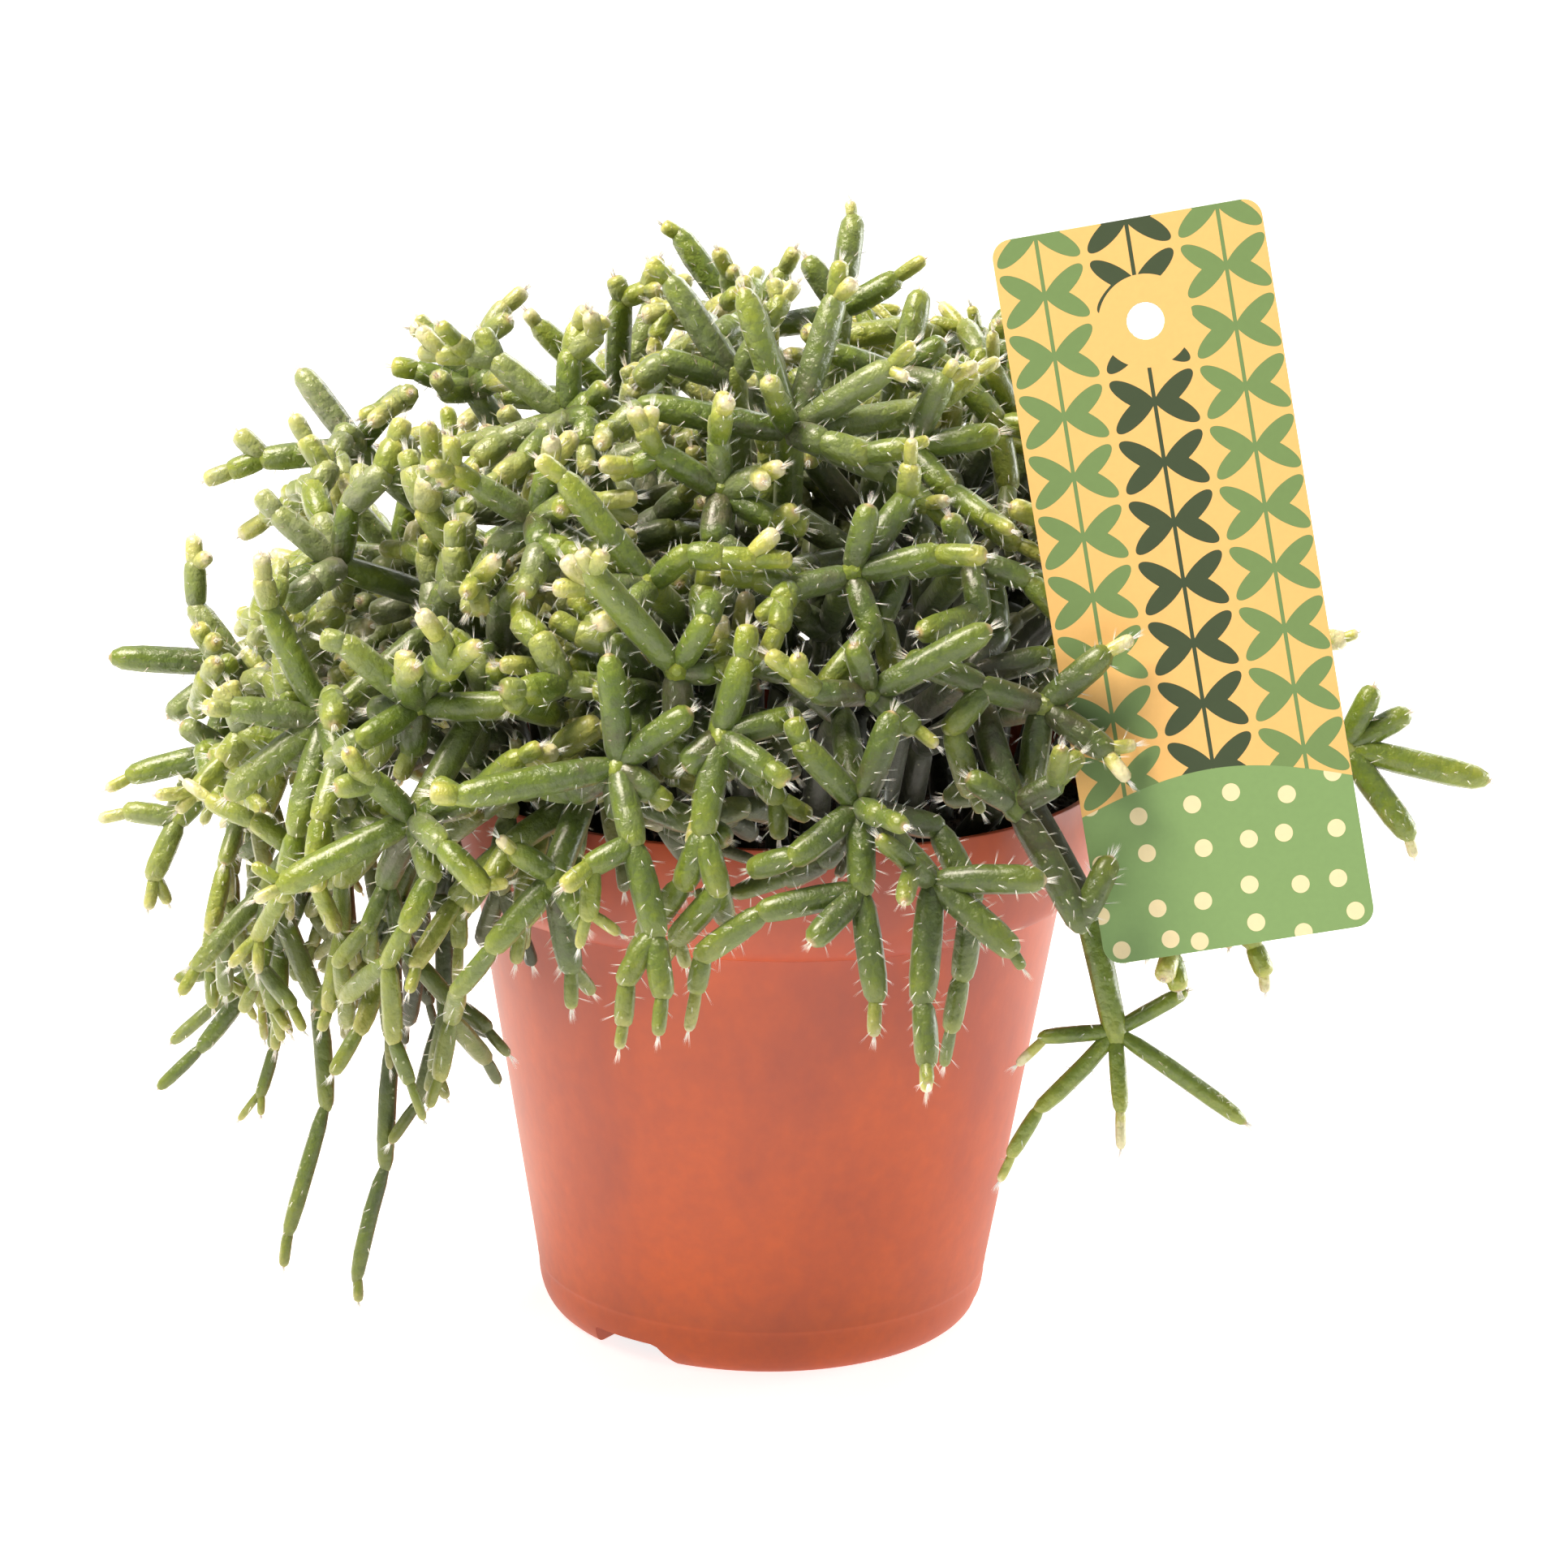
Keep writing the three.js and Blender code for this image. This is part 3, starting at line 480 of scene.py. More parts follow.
def printed_card():
    """Flat inks on a white plastic card: a yellow ground, sprigs in two greens and a green band with small
    discs. The inks lie a little unevenly, and the varnish over them gives an even satin."""
    material, add, shader, _ = new_material("flat inks on plastic card")
    spot = add("UVMap", uv_map="print")
    spot_parts = add("SeparateXYZ", spot).outputs
    cell = add("VectorMath", spot, (*PRINT_CELL, 1.0), operation="DIVIDE")
    parts = add("SeparateXYZ", cell).outputs
    column = add("Math", parts["X"], operation="FLOOR")
    middle = add("Math", column, 1.0, operation="PINGPONG")
    lifted = add("Math", middle, 0.5, parts["Y"], operation="MULTIPLY_ADD")
    within = add("VectorMath", add("CombineXYZ", parts["X"], lifted), operation="FRACTION")
    to_middle = (-PRINT_CELL[0] / 2, -PRINT_CELL[1] / 2, 0.0)
    near = add("VectorMath", within, (*PRINT_CELL, 0.0), to_middle, operation="MULTIPLY_ADD")
    near_parts = add("SeparateXYZ", near).outputs
    aside = add("Math", near_parts["X"], operation="ABSOLUTE")
    pair = add("Math", near_parts["Y"], PRINT_CELL[1] / 4, operation="PINGPONG")
    leaf_space = add(
        "Mapping",
        Vector=add("CombineXYZ", aside, pair),
        Location=(PRINT_LEAF["out"], PRINT_LEAF["up"], 0),
        Rotation=(0, 0, math.radians(PRINT_LEAF["turn"])),
        Scale=(PRINT_LEAF["length"], PRINT_LEAF["width"], 1),
        vector_type="TEXTURE",
    )
    from_leaf = add("VectorMath", leaf_space, operation="LENGTH")
    leaf = add("Math", from_leaf, 1.0, operation="LESS_THAN")
    twig = add("Math", aside, PRINT_TWIG, operation="LESS_THAN")
    hole = (PUNCHED_HOLE["x"], LABEL_HEIGHT - PUNCHED_HOLE["down"], 0.0)
    from_hole = add("VectorMath", spot, hole, operation="DISTANCE")
    open_field = add("Math", from_hole, PUNCHED_HOLE["clear"], operation="GREATER_THAN")
    sprig = add("Math", leaf, twig, operation="MAXIMUM")
    sprig = add("Math", sprig, open_field, operation="MULTIPLY")
    ink = add("Mix", middle, "#6F8B55", "#3A482F", data_type="RGBA")
    ground = add("Mix", sprig, "#E9BC74", ink, data_type="RGBA")
    arch = add("Math", spot_parts["X"], math.pi / LABEL_WIDTH, operation="MULTIPLY")
    arch = add("Math", arch, operation="SINE")
    brow = add("Math", arch, PRINT_BAND["swell"], PRINT_BAND["height"], operation="MULTIPLY_ADD")
    band = add("Math", spot_parts["Y"], brow, operation="LESS_THAN")
    spacing = 1 / PRINT_DISCS["spacing"]
    discs = add("TexVoronoi", Vector=spot, Scale=spacing, Randomness=0.45, voronoi_dimensions="2D")
    disc = add("Math", discs, PRINT_DISCS["radius"], operation="LESS_THAN")
    band_ink = add("Mix", disc, "#7E9F65", "#EADDB2", data_type="RGBA")
    printed = add("Mix", band, ground, band_ink, data_type="RGBA")
    lay = add("TexNoise", Vector=spot, Scale=0.9, Detail=3.0)
    uneven = add("MapRange", Value=lay, To_Min=0.95, To_Max=1.04)
    toned = add("VectorMath", printed, uneven, operation="SCALE")
    varnish = add("TexNoise", Vector=spot, Scale=0.15, Detail=2.0)
    satin = add("MapRange", Value=varnish, To_Min=0.36, To_Max=0.48)
    feed(shader, Base_Color=toned, Roughness=satin, IOR=1.46)
    return material


def bare_card_edge():
    """The card's own plastic where it was cut and punched: white, with a faint fuzz from the blade, drawn
    coarser than it is so that it shows."""
    material, add, shader, place = new_material("cut edge of white plastic card")
    fuzz = add("TexNoise", Vector=place, Scale=1 / (0.4 * MM), Detail=2.0)
    colour = set_stops(add("ValToRGB", fuzz), {0.3: "#E9E3D2", 0.7: "#F8F5EC"})
    feed(shader, Base_Color=colour, Roughness=0.6)
    return material


label = card_mesh()
give_materials(label, printed_card(), bare_card_edge())
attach(label, "root")
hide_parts("care_label")

# --------------------------------------------------------------------------------------------- growth
# The plant is a pot full of rooted mistletoe cactus cuttings. Each is one grown piece: a jointed stem,
# a whorl of stubby joints at its end, and shorter joints and buds on those. This section works out where
# every joint goes. The stems and main joints repeat the part's own, and the young growth is added to them.

GAP = 0.3
HOLE_DEPTH = 7.0
HOLE_SLACK = 0.6
CROWN_CENTRE = np.array((0.0, 0.0, 100.0))
CROWN_OUT = 98.0  # from the centre to the whorls, level
CROWN_UP = 84.0  # the same, straight up
FRONT_TILT = 15
ROOT_DISC = 48.0
STEM_RADIUS = 2.5
STEM_STEP = 30.0
JOINT_BASE_RADIUS = 1.9
JOINT_GROWTH = 0.045
HANGING_SLIMNESS = 0.88  # each step down a hanging chain
MAIN_RULES = {"tries": 56, "clearance": 0.45, "closeness": 0.8}
FLOOR_CLEARANCE = 3.0
CHECK_STEP = 1.5
JOINT_AGES = {"set by hand": 0.78, "by rule": 0.75, "shoot": 0.85, "each step out": 0.86}  # 1 is oldest
CUTTING_LIMIT = 57
LOW_WHORL = 20
DROOPING_WHORL = 8
WHORL_SPACING = 27.0
WHORL_TURNS = 74
WHORL_HIGHEST = 0.97
WHORL_SPAN = 1.2
WHORL_STRAY = (-4, 4)  # degrees
WHORL_REACH = (0.9, 1.02)
WHORL_JOINTS = 6
WHORL_SPLAY = ((34, 56), (62, 82))  # of every second joint in turn
WHORL_LENGTHS = (13, 25)
WHORL_RISE = {"drooping": (-0.6, -0.2), "upright": (0, 0.25)}
SPARSE_WHORLS = {"from": 48, "to": 135, "reach": 0.88}  # those on the right reach less far out
SHOOT_LIMIT = 80
SHOOT_STRIDE = 17
SHOOT_ABOVE_SOIL = 8
SHOOT_SPLAY = (45, 80)
SHOOT_LENGTHS = (14, 23)
TURN_STEP = 4.5
SHORTEST_SHARE = 0.6
SHORTENING_TRIES = 56
JOINT_SINK = 1.6
LEAST_FORK = math.cos(math.radians(38))
SHARPEST_TURN = math.cos(math.radians(140))
STEM_TRIES = 260
ROOT_SPACING = 2 * (STEM_RADIUS + HOLE_SLACK) + 0.8
GOLDEN_ANGLE = math.radians(137.508)
ASKEW = (0.31, 0.57, 0.76)  # joints turn aside about an axis square to this
# The stem's root strays further with each try. Its arch rises by at least so much, or by a share of the way
# to the whorl, and it nears the whorl from a little inside, over the rim where the whorl is low.
STEM_ARCH = {"stray": 1.3, "least": 26, "share": 0.45, "over rim": 26, "inside": 24, "inside if low": 8}

# The whorls at the front and left, given one by one: azimuth, elevation, reach and joints. A joint is clock,
# length, lean and the joints at its tip. Clock is its direction seen from the front, 0 up and 90 right,
# and lean is its turn to the front.
WHORLS = [
    (-80, 3, 1, [(-105, 19, 0), (-135, 17, 10, [(-83, 10, 0), (-158, 12, 5)]), (-60, 10, 20)]),
    (-61, -6, 1, [(157, 22, 0, [(174, 20, 0, [(-165, 24, 0)])]), (-140, 20, 10), (-170, 18, 20)]),
    (-51, -9, 0.86, [(177, 23, 0, [(-178, 23, 0, [(-167, 21, 0)])]), (-149, 21, 5),
                     (80, 11, 10, [(178, 20, 0, [(-166, 17, 0, [(-150, 9, 0)]), (115, 9, 0)])])]),
    (-80, -20, 1, [(-105, 18, 0), (-121, 27, 0, [(-135, 11, 0)]), (-142, 21, 10, [(-132, 13, 0)]),
                   (180, 18, 5, [(-165, 10, 0)]), (-95, 14, 25)]),
    (44, -19, 0.93, [(-96, 13, 0), (-127, 20, -5), (175, 14, 5), (124, 27, 0), (60, 14, 0)]),
    (75, 7, 1.07, [(61, 13, 0), (102, 26, 0), (143, 20, 5), (30, 12, 10)]),
    (-52, 13, 1, [(-27, 22, 10), (-85, 17, 15), (-168, 21, 15), (-130, 21, 5), (25, 10, 60)]),
    (-39, 17, 1, [(-50, 17, 20), (25, 10, 35), (98, 19, 10), (-125, 13, 30)]),
    (8.5, 11, 1, [(-45, 15, 15), (18, 16, 10), (115, 9, 65), (-129, 15, 20),
                  (178, 15, 10, [(-103, 17, 5), (-118, 16, 10), (171, 18, 5)]),
                  (135, 18, 5, [(88, 18, 10), (123, 18, 10), (-176, 20, 5, [(175, 11, 0)]), (-45, 7, 20)])]),
    (-15, 14, 1, [(-102, 27, 10), (-6, 18, 10), (52, 15, 15),
                  (167, 15, 25, [(165, 16, 0, [(-150, 10, 0), (175, 11, 0)]), (-120, 9, 10)])]),
    (-5, 17.5, 1, [(-5, 16, 15), (84, 14, 5), (107, 13, 25), (-52, 12, 15),
                   (-171, 17, 10, [(157, 11, 5), (-152, 12, 5)])]),
    (29, 20, 1, [(53, 17, -8), (117, 16, -4), (-156, 17, 10)]),
    (2.5, 55, 1, [(-20, 25, 10), (13, 25, 0), (45, 22, 10), (68, 28, -5), (113, 19, 15),
                  (-81, 26, 5), (-30, 12, 60), (96, 24, 0)]),
    (9.5, 35, 1, [(75, 15, 10), (13, 12, 20), (-105, 12, 10), (160, 12, 20)]),
    (-36.5, 6, 1, [(-45, 12, 35), (-118, 25, 5), (160, 12, 25), (70, 12, 20)]),
    (-20.5, 3, 1, [(-58, 9, 25), (147, 10, 15), (-140, 16, 5)]),
    (-15, 33, 1, [(-40, 23, 10), (-95, 12, 25), (50, 10, 30)]),
    (-10, 24, 1, [(-50, 24, 15), (30, 11, 25), (110, 10, 20)]),
    (-21, 22, 1, [(-49, 21, 15), (-120, 12, 25), (60, 10, 30)]),
    (10, 22, 1, [(60, 22, 10), (-20, 10, 35), (130, 12, 25)]),
    (-90, 38, 1.04, [(-38, 17, 5), (-99, 18, 10), (-150, 13, 25), (40, 12, 20)]),
    (-90, 10, 1.01, [(-38, 14, 5, [(-3, 9, 5)]), (-88, 23, 5), (-125, 16, 10)]),
    (24, 10, 1, [(150, 23, 0, [(24, 12, 0)]), (-60, 10, 25), (60, 9, 20)]),
    (-12, 65, 1, [(-34, 21, 5), (-75, 14, 20), (30, 12, 10)]),
    (50, 81, 1.04, [(7, 17, 0), (-35, 11, 10), (60, 12, 10)]),
    (36, 66, 1, [(13, 15, 0), (35, 11, 5), (90, 13, 10)]),
    (-43, 54, 1, [(-52, 17, 5, [(-30, 6, 0), (-80, 6, 0)]), (0, 12, 10), (-110, 13, 15)]),
    (-90, 52, 1, [(-37, 14, 0), (-80, 12, 5), (10, 11, 0)]),
    (25, 36, 1, [(97, 12, 10), (-28, 9, 30), (170, 11, 25)]),
    (-34, 39, 1, [(-60, 13, 20), (15, 11, 30), (120, 12, 20)]),
    (-64, 28, 1, [(-50, 15, 15), (10, 12, 20), (-110, 14, 20)]),
    (-8, 45, 1, [(115, 12, 15), (-60, 14, 20), (-5, 10, 25)]),
    (24, 52, 1, [(80, 15, 5), (20, 14, 10), (140, 12, 25)]),
]


def seeded_draws(seed):
    """A repeatable stream of random numbers between two bounds."""
    state = [seed]

    def draw(low, high):
        state[0] = (state[0] * 1664525 + 1013904223) % 4294967296
        return low + (high - low) * state[0] / 4294967296

    return draw


class Joints:
    """Every joint and stem piece so far, as rows of arrays. A stem piece has no parent, which is -1, and
    above gives the stem's next piece."""

    LIMIT = 6000

    def __init__(self):
        self.count = 0
        self.start, self.end, self.along, self.middle = np.zeros((4, self.LIMIT, 3))
        self.radius, self.length, self.age = np.zeros((3, self.LIMIT))
        self.cutting, self.parent, self.above = np.full((3, self.LIMIT), -1)

    def place(self, cutting, parent, start, end, radius, age=1.0):
        row = self.count
        self.count += 1
        self.start[row], self.end[row], self.middle[row] = start, end, (start + end) / 2
        self.length[row] = np.linalg.norm(end - start)
        self.along[row] = (end - start) / self.length[row]
        self.radius[row], self.cutting[row], self.parent[row], self.age[row] = radius, cutting, parent, age
        return row


joints = Joints()


def distance_to_line(points, starts, ends):
    """From each point to each middle line, one of the two given once."""
    along = ends - starts
    share = ((points - starts) * along).sum(-1) / (along * along).sum(-1)
    nearest = starts + along * np.clip(share, 0, 1)[..., None]
    return np.linalg.norm(points - nearest, axis=-1)


def distances(a, b, c, d):
    """The shortest distance from the middle line a-b to each of the middle lines c-d."""
    u, v, w = b - a, d - c, a - c
    uu, uv, vv, uw, vw = u @ u, v @ u, (v * v).sum(1), w @ u, (v * w).sum(1)
    parallel = uu * vv - uv * uv
    with np.errstate(divide="ignore", invalid="ignore"):
        s = (uv * vw - vv * uw) / parallel
        t = (uu * vw - uv * uw) / parallel
        inside = (s > 0) & (s < 1) & (t > 0) & (t < 1)
        crossing = np.linalg.norm(w + s[:, None] * u - t[:, None] * v, axis=1)
    ends = ((a, c, d), (b, c, d), (c, a, b), (d, a, b))
    at_ends = np.minimum.reduce([distance_to_line(*three) for three in ends])
    return np.where(inside, crossing, at_ends)


def clear_of_holders(points, radius, is_stem, clearance):
    """True if a joint along these points clears the floor, the pot, the soil and the label."""
    margin = radius + clearance
    z = points[:, 2]
    if (z < margin + FLOOR_CLEARANCE).any():
        return False
    reach = np.hypot(points[:, 0], points[:, 1])
    outer = np.where(z > COLLAR_Z - STEM_RADIUS, LIP_RADIUS, body_radius(np.maximum(z, FOOT_ROUND[1])))
    within = (z < POT_HEIGHT + margin) & (reach < outer + margin)
    if (within & (reach > LIP_RADIUS - WALL - margin)).any():
        return False
    if not is_stem and (within & (z < SOIL_TOP + SOIL_BUMP + margin)).any():
        return False
    half = np.array((LABEL_WIDTH, LABEL_HEIGHT, LABEL_THICK)) / 2
    beyond = np.maximum(np.abs((points - LABEL_CENTRE) @ label_axes.T) - half, 0)
    return bool((np.linalg.norm(beyond, axis=1) > margin).all())


def fits(cutting, parent, start, end, radius, rules=MAIN_RULES):
    """True if a joint there clears everything placed so far, by less where both are of one cutting."""
    clearance, closeness = rules["clearance"], rules["closeness"]
    length = np.linalg.norm(end - start)
    is_stem = parent < 0
    shares = np.linspace(0, 1, math.ceil(length / CHECK_STEP) + 1)[:, None]
    if not clear_of_holders(start + (end - start) * shares, radius, is_stem, clearance):
        return False
    rows = np.arange(joints.count)
    own = joints.cutting[rows] == cutting
    apart = np.where(own, closeness, 1) * (radius + joints.radius[rows]) + np.where(own, 0, clearance)
    between = np.linalg.norm(joints.middle[rows] - (start + end) / 2, axis=1)
    near = between <= (length + joints.length[rows]) / 2 + apart
    if is_stem:
        near &= ~own
    else:
        near &= (rows != parent) & (joints.parent[rows] != parent) & (rows != joints.above[parent])
    rows = rows[near]
    return bool((distances(start, end, joints.start[rows], joints.end[rows]) > apart[rows]).all())


def grow_joint(parent, heading, length, radius, age, rules=MAIN_RULES):
    """A joint is tried where it should grow, then turned aside and shortened little by little."""
    start = joints.end[parent] - JOINT_SINK * joints.along[parent]
    side = unit(np.cross(ASKEW, heading))
    rows = np.arange(joints.count)
    siblings = joints.along[rows[(joints.parent[rows] == parent) | (rows == joints.above[parent])]]
    cutting = joints.cutting[parent]
    for attempt in range(rules["tries"]):
        turned = spun(heading, side, math.radians(TURN_STEP * math.sqrt(attempt)))
        turned = spun(turned, heading, attempt * GOLDEN_ANGLE)
        end = start + turned * length * (1 - (1 - SHORTEST_SHARE) * attempt / SHORTENING_TRIES)
        forked = (siblings @ turned < LEAST_FORK).all() and joints.along[parent] @ turned > SHARPEST_TURN
        if forked and "fringe" in rules:
            forked = beyond_crown(end) < rules["fringe"]
        if forked and fits(cutting, parent, start, end, radius, rules):
            return joints.place(cutting, parent, start, end, radius, age)
    return None


def crown_point(az, el, reach=1.0):
    out = math.cos(math.radians(el)) / CROWN_OUT
    up = math.sin(math.radians(el)) / CROWN_UP
    return CROWN_CENTRE + direction(az, el) * reach / math.hypot(out, up)


def spaced_points(corners, step):
    """Points along a cubic Bezier curve, evenly spaced and about a step apart."""
    a, b, c, d = corners

    def on_curve(places):
        return [
            (1 - t) ** 3 * a + 3 * (1 - t) ** 2 * t * b + 3 * (1 - t) * t * t * c + t**3 * d for t in places
        ]

    share = np.linspace(0, 1, 201)
    reached = np.concatenate(([0], np.cumsum(np.linalg.norm(np.diff(on_curve(share), axis=0), axis=1))))
    steps = max(math.ceil(reached[-1] / step), 2)
    return on_curve(np.interp(np.arange(steps + 1) / steps * reached[-1], reached, share))


roots = []


def grow_stem(cutting, whorl):
    """A stem rises straight from the soil, arches over the rim where its whorl is low, and ends at the
    whorl. Its root, its arch and then its side are changed until it clears the others."""
    az, el, reach, _ = whorl
    hub = crown_point(az, el, reach)
    root_reach = ROOT_DISC * math.cos(math.radians(min(max(el, 0), 88))) ** 0.8
    low = el < LOW_WHORL
    for attempt in range(STEM_TRIES):
        aside, turn = STEM_ARCH["stray"] * math.sqrt(attempt), attempt * GOLDEN_ANGLE
        root = direction(az, 0) * root_reach + aside * np.array((math.cos(turn), math.sin(turn), 0))
        root = unit(root) * min(np.linalg.norm(root), ROOT_DISC)
        root[2] = SOIL_TOP - HOLE_DEPTH + GAP
        ground = np.array((root[0], root[1], SOIL_TOP + SOIL_BUMP + 1))
        rise = max(STEM_ARCH["least"], STEM_ARCH["share"] * np.linalg.norm(root - hub))
        arch = rise * (1 + 0.1 * (attempt % 5))
        over_rim = STEM_ARCH["over rim"] + 5 * (attempt % 4) if low else 0
        back = direction(az, max(el, 0)) * STEM_ARCH["inside if low" if low else "inside"]
        corners = (ground, ground + (0, 0, arch), hub - back + (0, 0, over_rim), hub)
        points = [root, *spaced_points(corners, STEM_STEP)]
        spans = list(zip(points, points[1:]))
        clear = all(fits(cutting, -1, start, end, STEM_RADIUS) for start, end in spans)
        if clear and all(np.linalg.norm(root - other) >= ROOT_SPACING for other in roots):
            roots.append(root)
            rows = [joints.place(cutting, -1, start, end, STEM_RADIUS) for start, end in spans]
            joints.above[rows[:-1]] = rows[1:]
            joints.age[rows] = np.linspace(1, 0.8, len(rows))
            return {"cutting": cutting, "whorl": whorl, "rows": rows}
    return None


def whorl_plan():
    """The listed whorls come first, then the rest of the crown is filled from the top down."""
    draw = seeded_draws(20461)
    plan = list(WHORLS)
    for i in range(WHORL_TURNS):
        if len(plan) >= CUTTING_LIMIT:
            break
        el = math.degrees(math.asin(WHORL_HIGHEST - WHORL_SPAN * i / WHORL_TURNS))
        az = math.degrees(i * GOLDEN_ANGLE) % 360
        sparse = SPARSE_WHORLS["from"] < az < SPARSE_WHORLS["to"]
        az, el = az + draw(*WHORL_STRAY), el + draw(*WHORL_STRAY)
        reach = draw(*WHORL_REACH) * (SPARSE_WHORLS["reach"] if sparse else 1)
        point = crown_point(az, el)
        if all(np.linalg.norm(crown_point(*other[:2]) - point) > WHORL_SPACING for other in plan):
            plan.append((az, el, reach, None))
    return plan


def joint_radius(length, steps_down=0):
    return (JOINT_BASE_RADIUS + JOINT_GROWTH * length) * HANGING_SLIMNESS**steps_down


def grow_set_joint(parent, joint, steps_down, age):
    """A listed joint and the joints at its tip, headed as the front frame says."""
    clock, length, lean, *tips = joint
    flat = math.cos(math.radians(lean))
    heading = (
        np.array((flat * math.sin(math.radians(clock)), 0, 0))
        + direction(0, FRONT_TILT + 90) * flat * math.cos(math.radians(clock))
        + direction(0, FRONT_TILT) * math.sin(math.radians(lean))
    )
    row = grow_joint(parent, heading, length, joint_radius(length, steps_down), age)
    if row is not None:
        for tip in tips[0] if tips else []:
            grow_set_joint(row, tip, steps_down and steps_down + 1, age * JOINT_AGES["each step out"])


def grow_whorl(parent, az, el, draw):
    """A whorl by rule: joints spread round the way out, raised on the crown and drooping below it."""
    start = draw(0, 360)
    for i in range(WHORL_JOINTS):
        splay = math.radians(draw(*WHORL_SPLAY[i % 2]))
        clock = math.radians(start + (i + draw(-0.2, 0.2)) * 360 / WHORL_JOINTS)
        heading = unit(
            direction(az, el) * math.cos(splay)
            + direction(az, el + 90) * math.sin(splay) * math.cos(clock)
            + direction(az + 90, 0) * math.sin(splay) * math.sin(clock)
            + np.array((0, 0, draw(*WHORL_RISE["drooping" if el < DROOPING_WHORL else "upright"])))
        )
        length = draw(*WHORL_LENGTHS)
        radius = joint_radius(length, 1 if el < 0 else 0)
        grow_joint(parent, heading, length, radius, JOINT_AGES["by rule"])


def grow_shoots(bends, draw):
    """Side joints on the bends of the stems, which fill the crown from within."""
    grown = [row for row in bends if joints.end[row, 2] > SOIL_TOP + SHOOT_ABOVE_SOIL]
    made = 0
    for i in range(2 * len(grown)):
        if made >= SHOOT_LIMIT:
            break
        bend = grown[(i * SHOOT_STRIDE) % len(grown)]
        side = unit(np.cross((draw(-1, 1), draw(-1, 1), draw(-1, 1)), joints.along[bend]))
        heading = spun(joints.along[bend], side, math.radians(draw(*SHOOT_SPLAY)))
        length = draw(*SHOOT_LENGTHS)
        shoot = grow_joint(bend, heading, length, joint_radius(length), JOINT_AGES["shoot"])
        made += shoot is not None


stems = [stem for stem in (grow_stem(i, whorl) for i, whorl in enumerate(whorl_plan())) if stem]
growth_draw = seeded_draws(7719)
for stem in stems:
    if stem["whorl"][3]:
        steps_down = 1 - stem["whorl"][1] / 10 if stem["whorl"][1] < 0 else 0
        for joint in stem["whorl"][3]:
            grow_set_joint(stem["rows"][-1], joint, steps_down, JOINT_AGES["set by hand"])
for stem in stems:
    if not stem["whorl"][3]:
        grow_whorl(stem["rows"][-1], stem["whorl"][0], stem["whorl"][1], growth_draw)
grow_shoots([row for stem in stems for row in stem["rows"][:-1]], growth_draw)

# The rest of the growth fills the crown: joints from the bends of the stems and from the forks, and buds
# at most free tips. It stays within the crown's rounded outline, and may press closer to its neighbours.
CROWN_DOWN = 128.0  # from the crown's centre to its outline, straight down
FILLING_RULES = {"tries": 14, "clearance": 0.1, "closeness": 0.7, "fringe": 7.0}
BUD_RULES = {"tries": 8, "clearance": 0.05, "closeness": 0.6, "fringe": 30.0}
FRINGE_LESS = {"left": 0.0, "front": 4.0, "back": 7.0, "right": 10.0}  # how much thinner it is on each side
RIGHT_SIDE = 52.0
FILLING = {"rounds": 4, "splay": (40, 88), "lengths": (13, 22), "ages": (0.75, 0.95)}  # at the stems' bends
FORKING = {"longer than": 9, "left": 0.9, "elsewhere": 0.65}  # the joints that fork, and their share
FORKS = {"splays": ((15, 60), (30, 75)) * 2, "lengths": (10, 18), "ages": (0.7, 0.9)}  # two in each round
FILLING_LENGTH = (0.86, 0.55)  # a share of the length drawn, and the same on the stubby side
YOUNG_SHARE = (0.4, 0.75)  # of the free tips that grow a young joint before they bud, likewise
YOUNG_LENGTHS = ((6, 11), (4, 7.5))  # likewise
YOUNG_ON_PARENT = (0.8, 0.92)  # its greatest share of its parent's girth, likewise
YOUNG_AGES = (0.4, 0.64)
YOUNG_SPLAYS = ((5, 35), (40, 70))  # of the first and of the second, which every other tip has
BUD_COUNTS = ((0.38, 0.38, 0.17, 0.07), (0.22, 0.4, 0.26, 0.12))  # the odds of none to three, likewise
STUBBY_GIRTH = 0.45  # how much thicker the stubby side's filling joints and buds are
BUD_LENGTHS = (2.8, 6.5)
BUD_AGES = (0.2, 0.46)
BUD_SPLAYS = ((4, 24), (38, 62))  # of a tip's first bud and of its others
BUD_BASE_RADIUS = 0.95
BUD_GROWTH = 0.09
BUD_ON_PARENT = 0.62
OUTERMOST = 14.0  # tips further out than this carry shorter buds
SHADED = -24.0  # tips this deep in the crown hardly bud
LOWEST_FILLING = {"left": 76.0, "front": 101.0, "back": 88.0, "right": 100.0}
LEFT_SIDE = -44.0
STUBBY_SIDE = {"x": 10.0, "z": 118.0}  # the upper left grows shorter joints
OPEN_SIDE = {"x": -8.0, "y": -20.0, "z": 106.0, "share": 0.5}  # the right of the front shows the dark inside
DROOP = 0.7
chance = np.random.default_rng(512)


def side_of(point):
    """Which side of the crown a point is on, as the crown hangs and spreads differently on each."""
    if point[0] > RIGHT_SIDE:
        return "right"
    if point[1] > 0:
        return "back"
    return "left" if point[0] < LEFT_SIDE else "front"


def beyond_crown(point):
    """How far a point lies outside the crown's rounded outline, below zero inside it."""
    out = point - CROWN_CENTRE
    up = CROWN_UP if out[2] > 0 else CROWN_DOWN
    share = math.hypot(math.hypot(out[0], out[1]) / CROWN_OUT, out[2] / up)
    return float(np.linalg.norm(out)) * (1 - 1 / share) + FRINGE_LESS[side_of(point)]


def grows_stubby(point):
    return bool(point[0] < STUBBY_SIDE["x"] and point[2] > STUBBY_SIDE["z"])


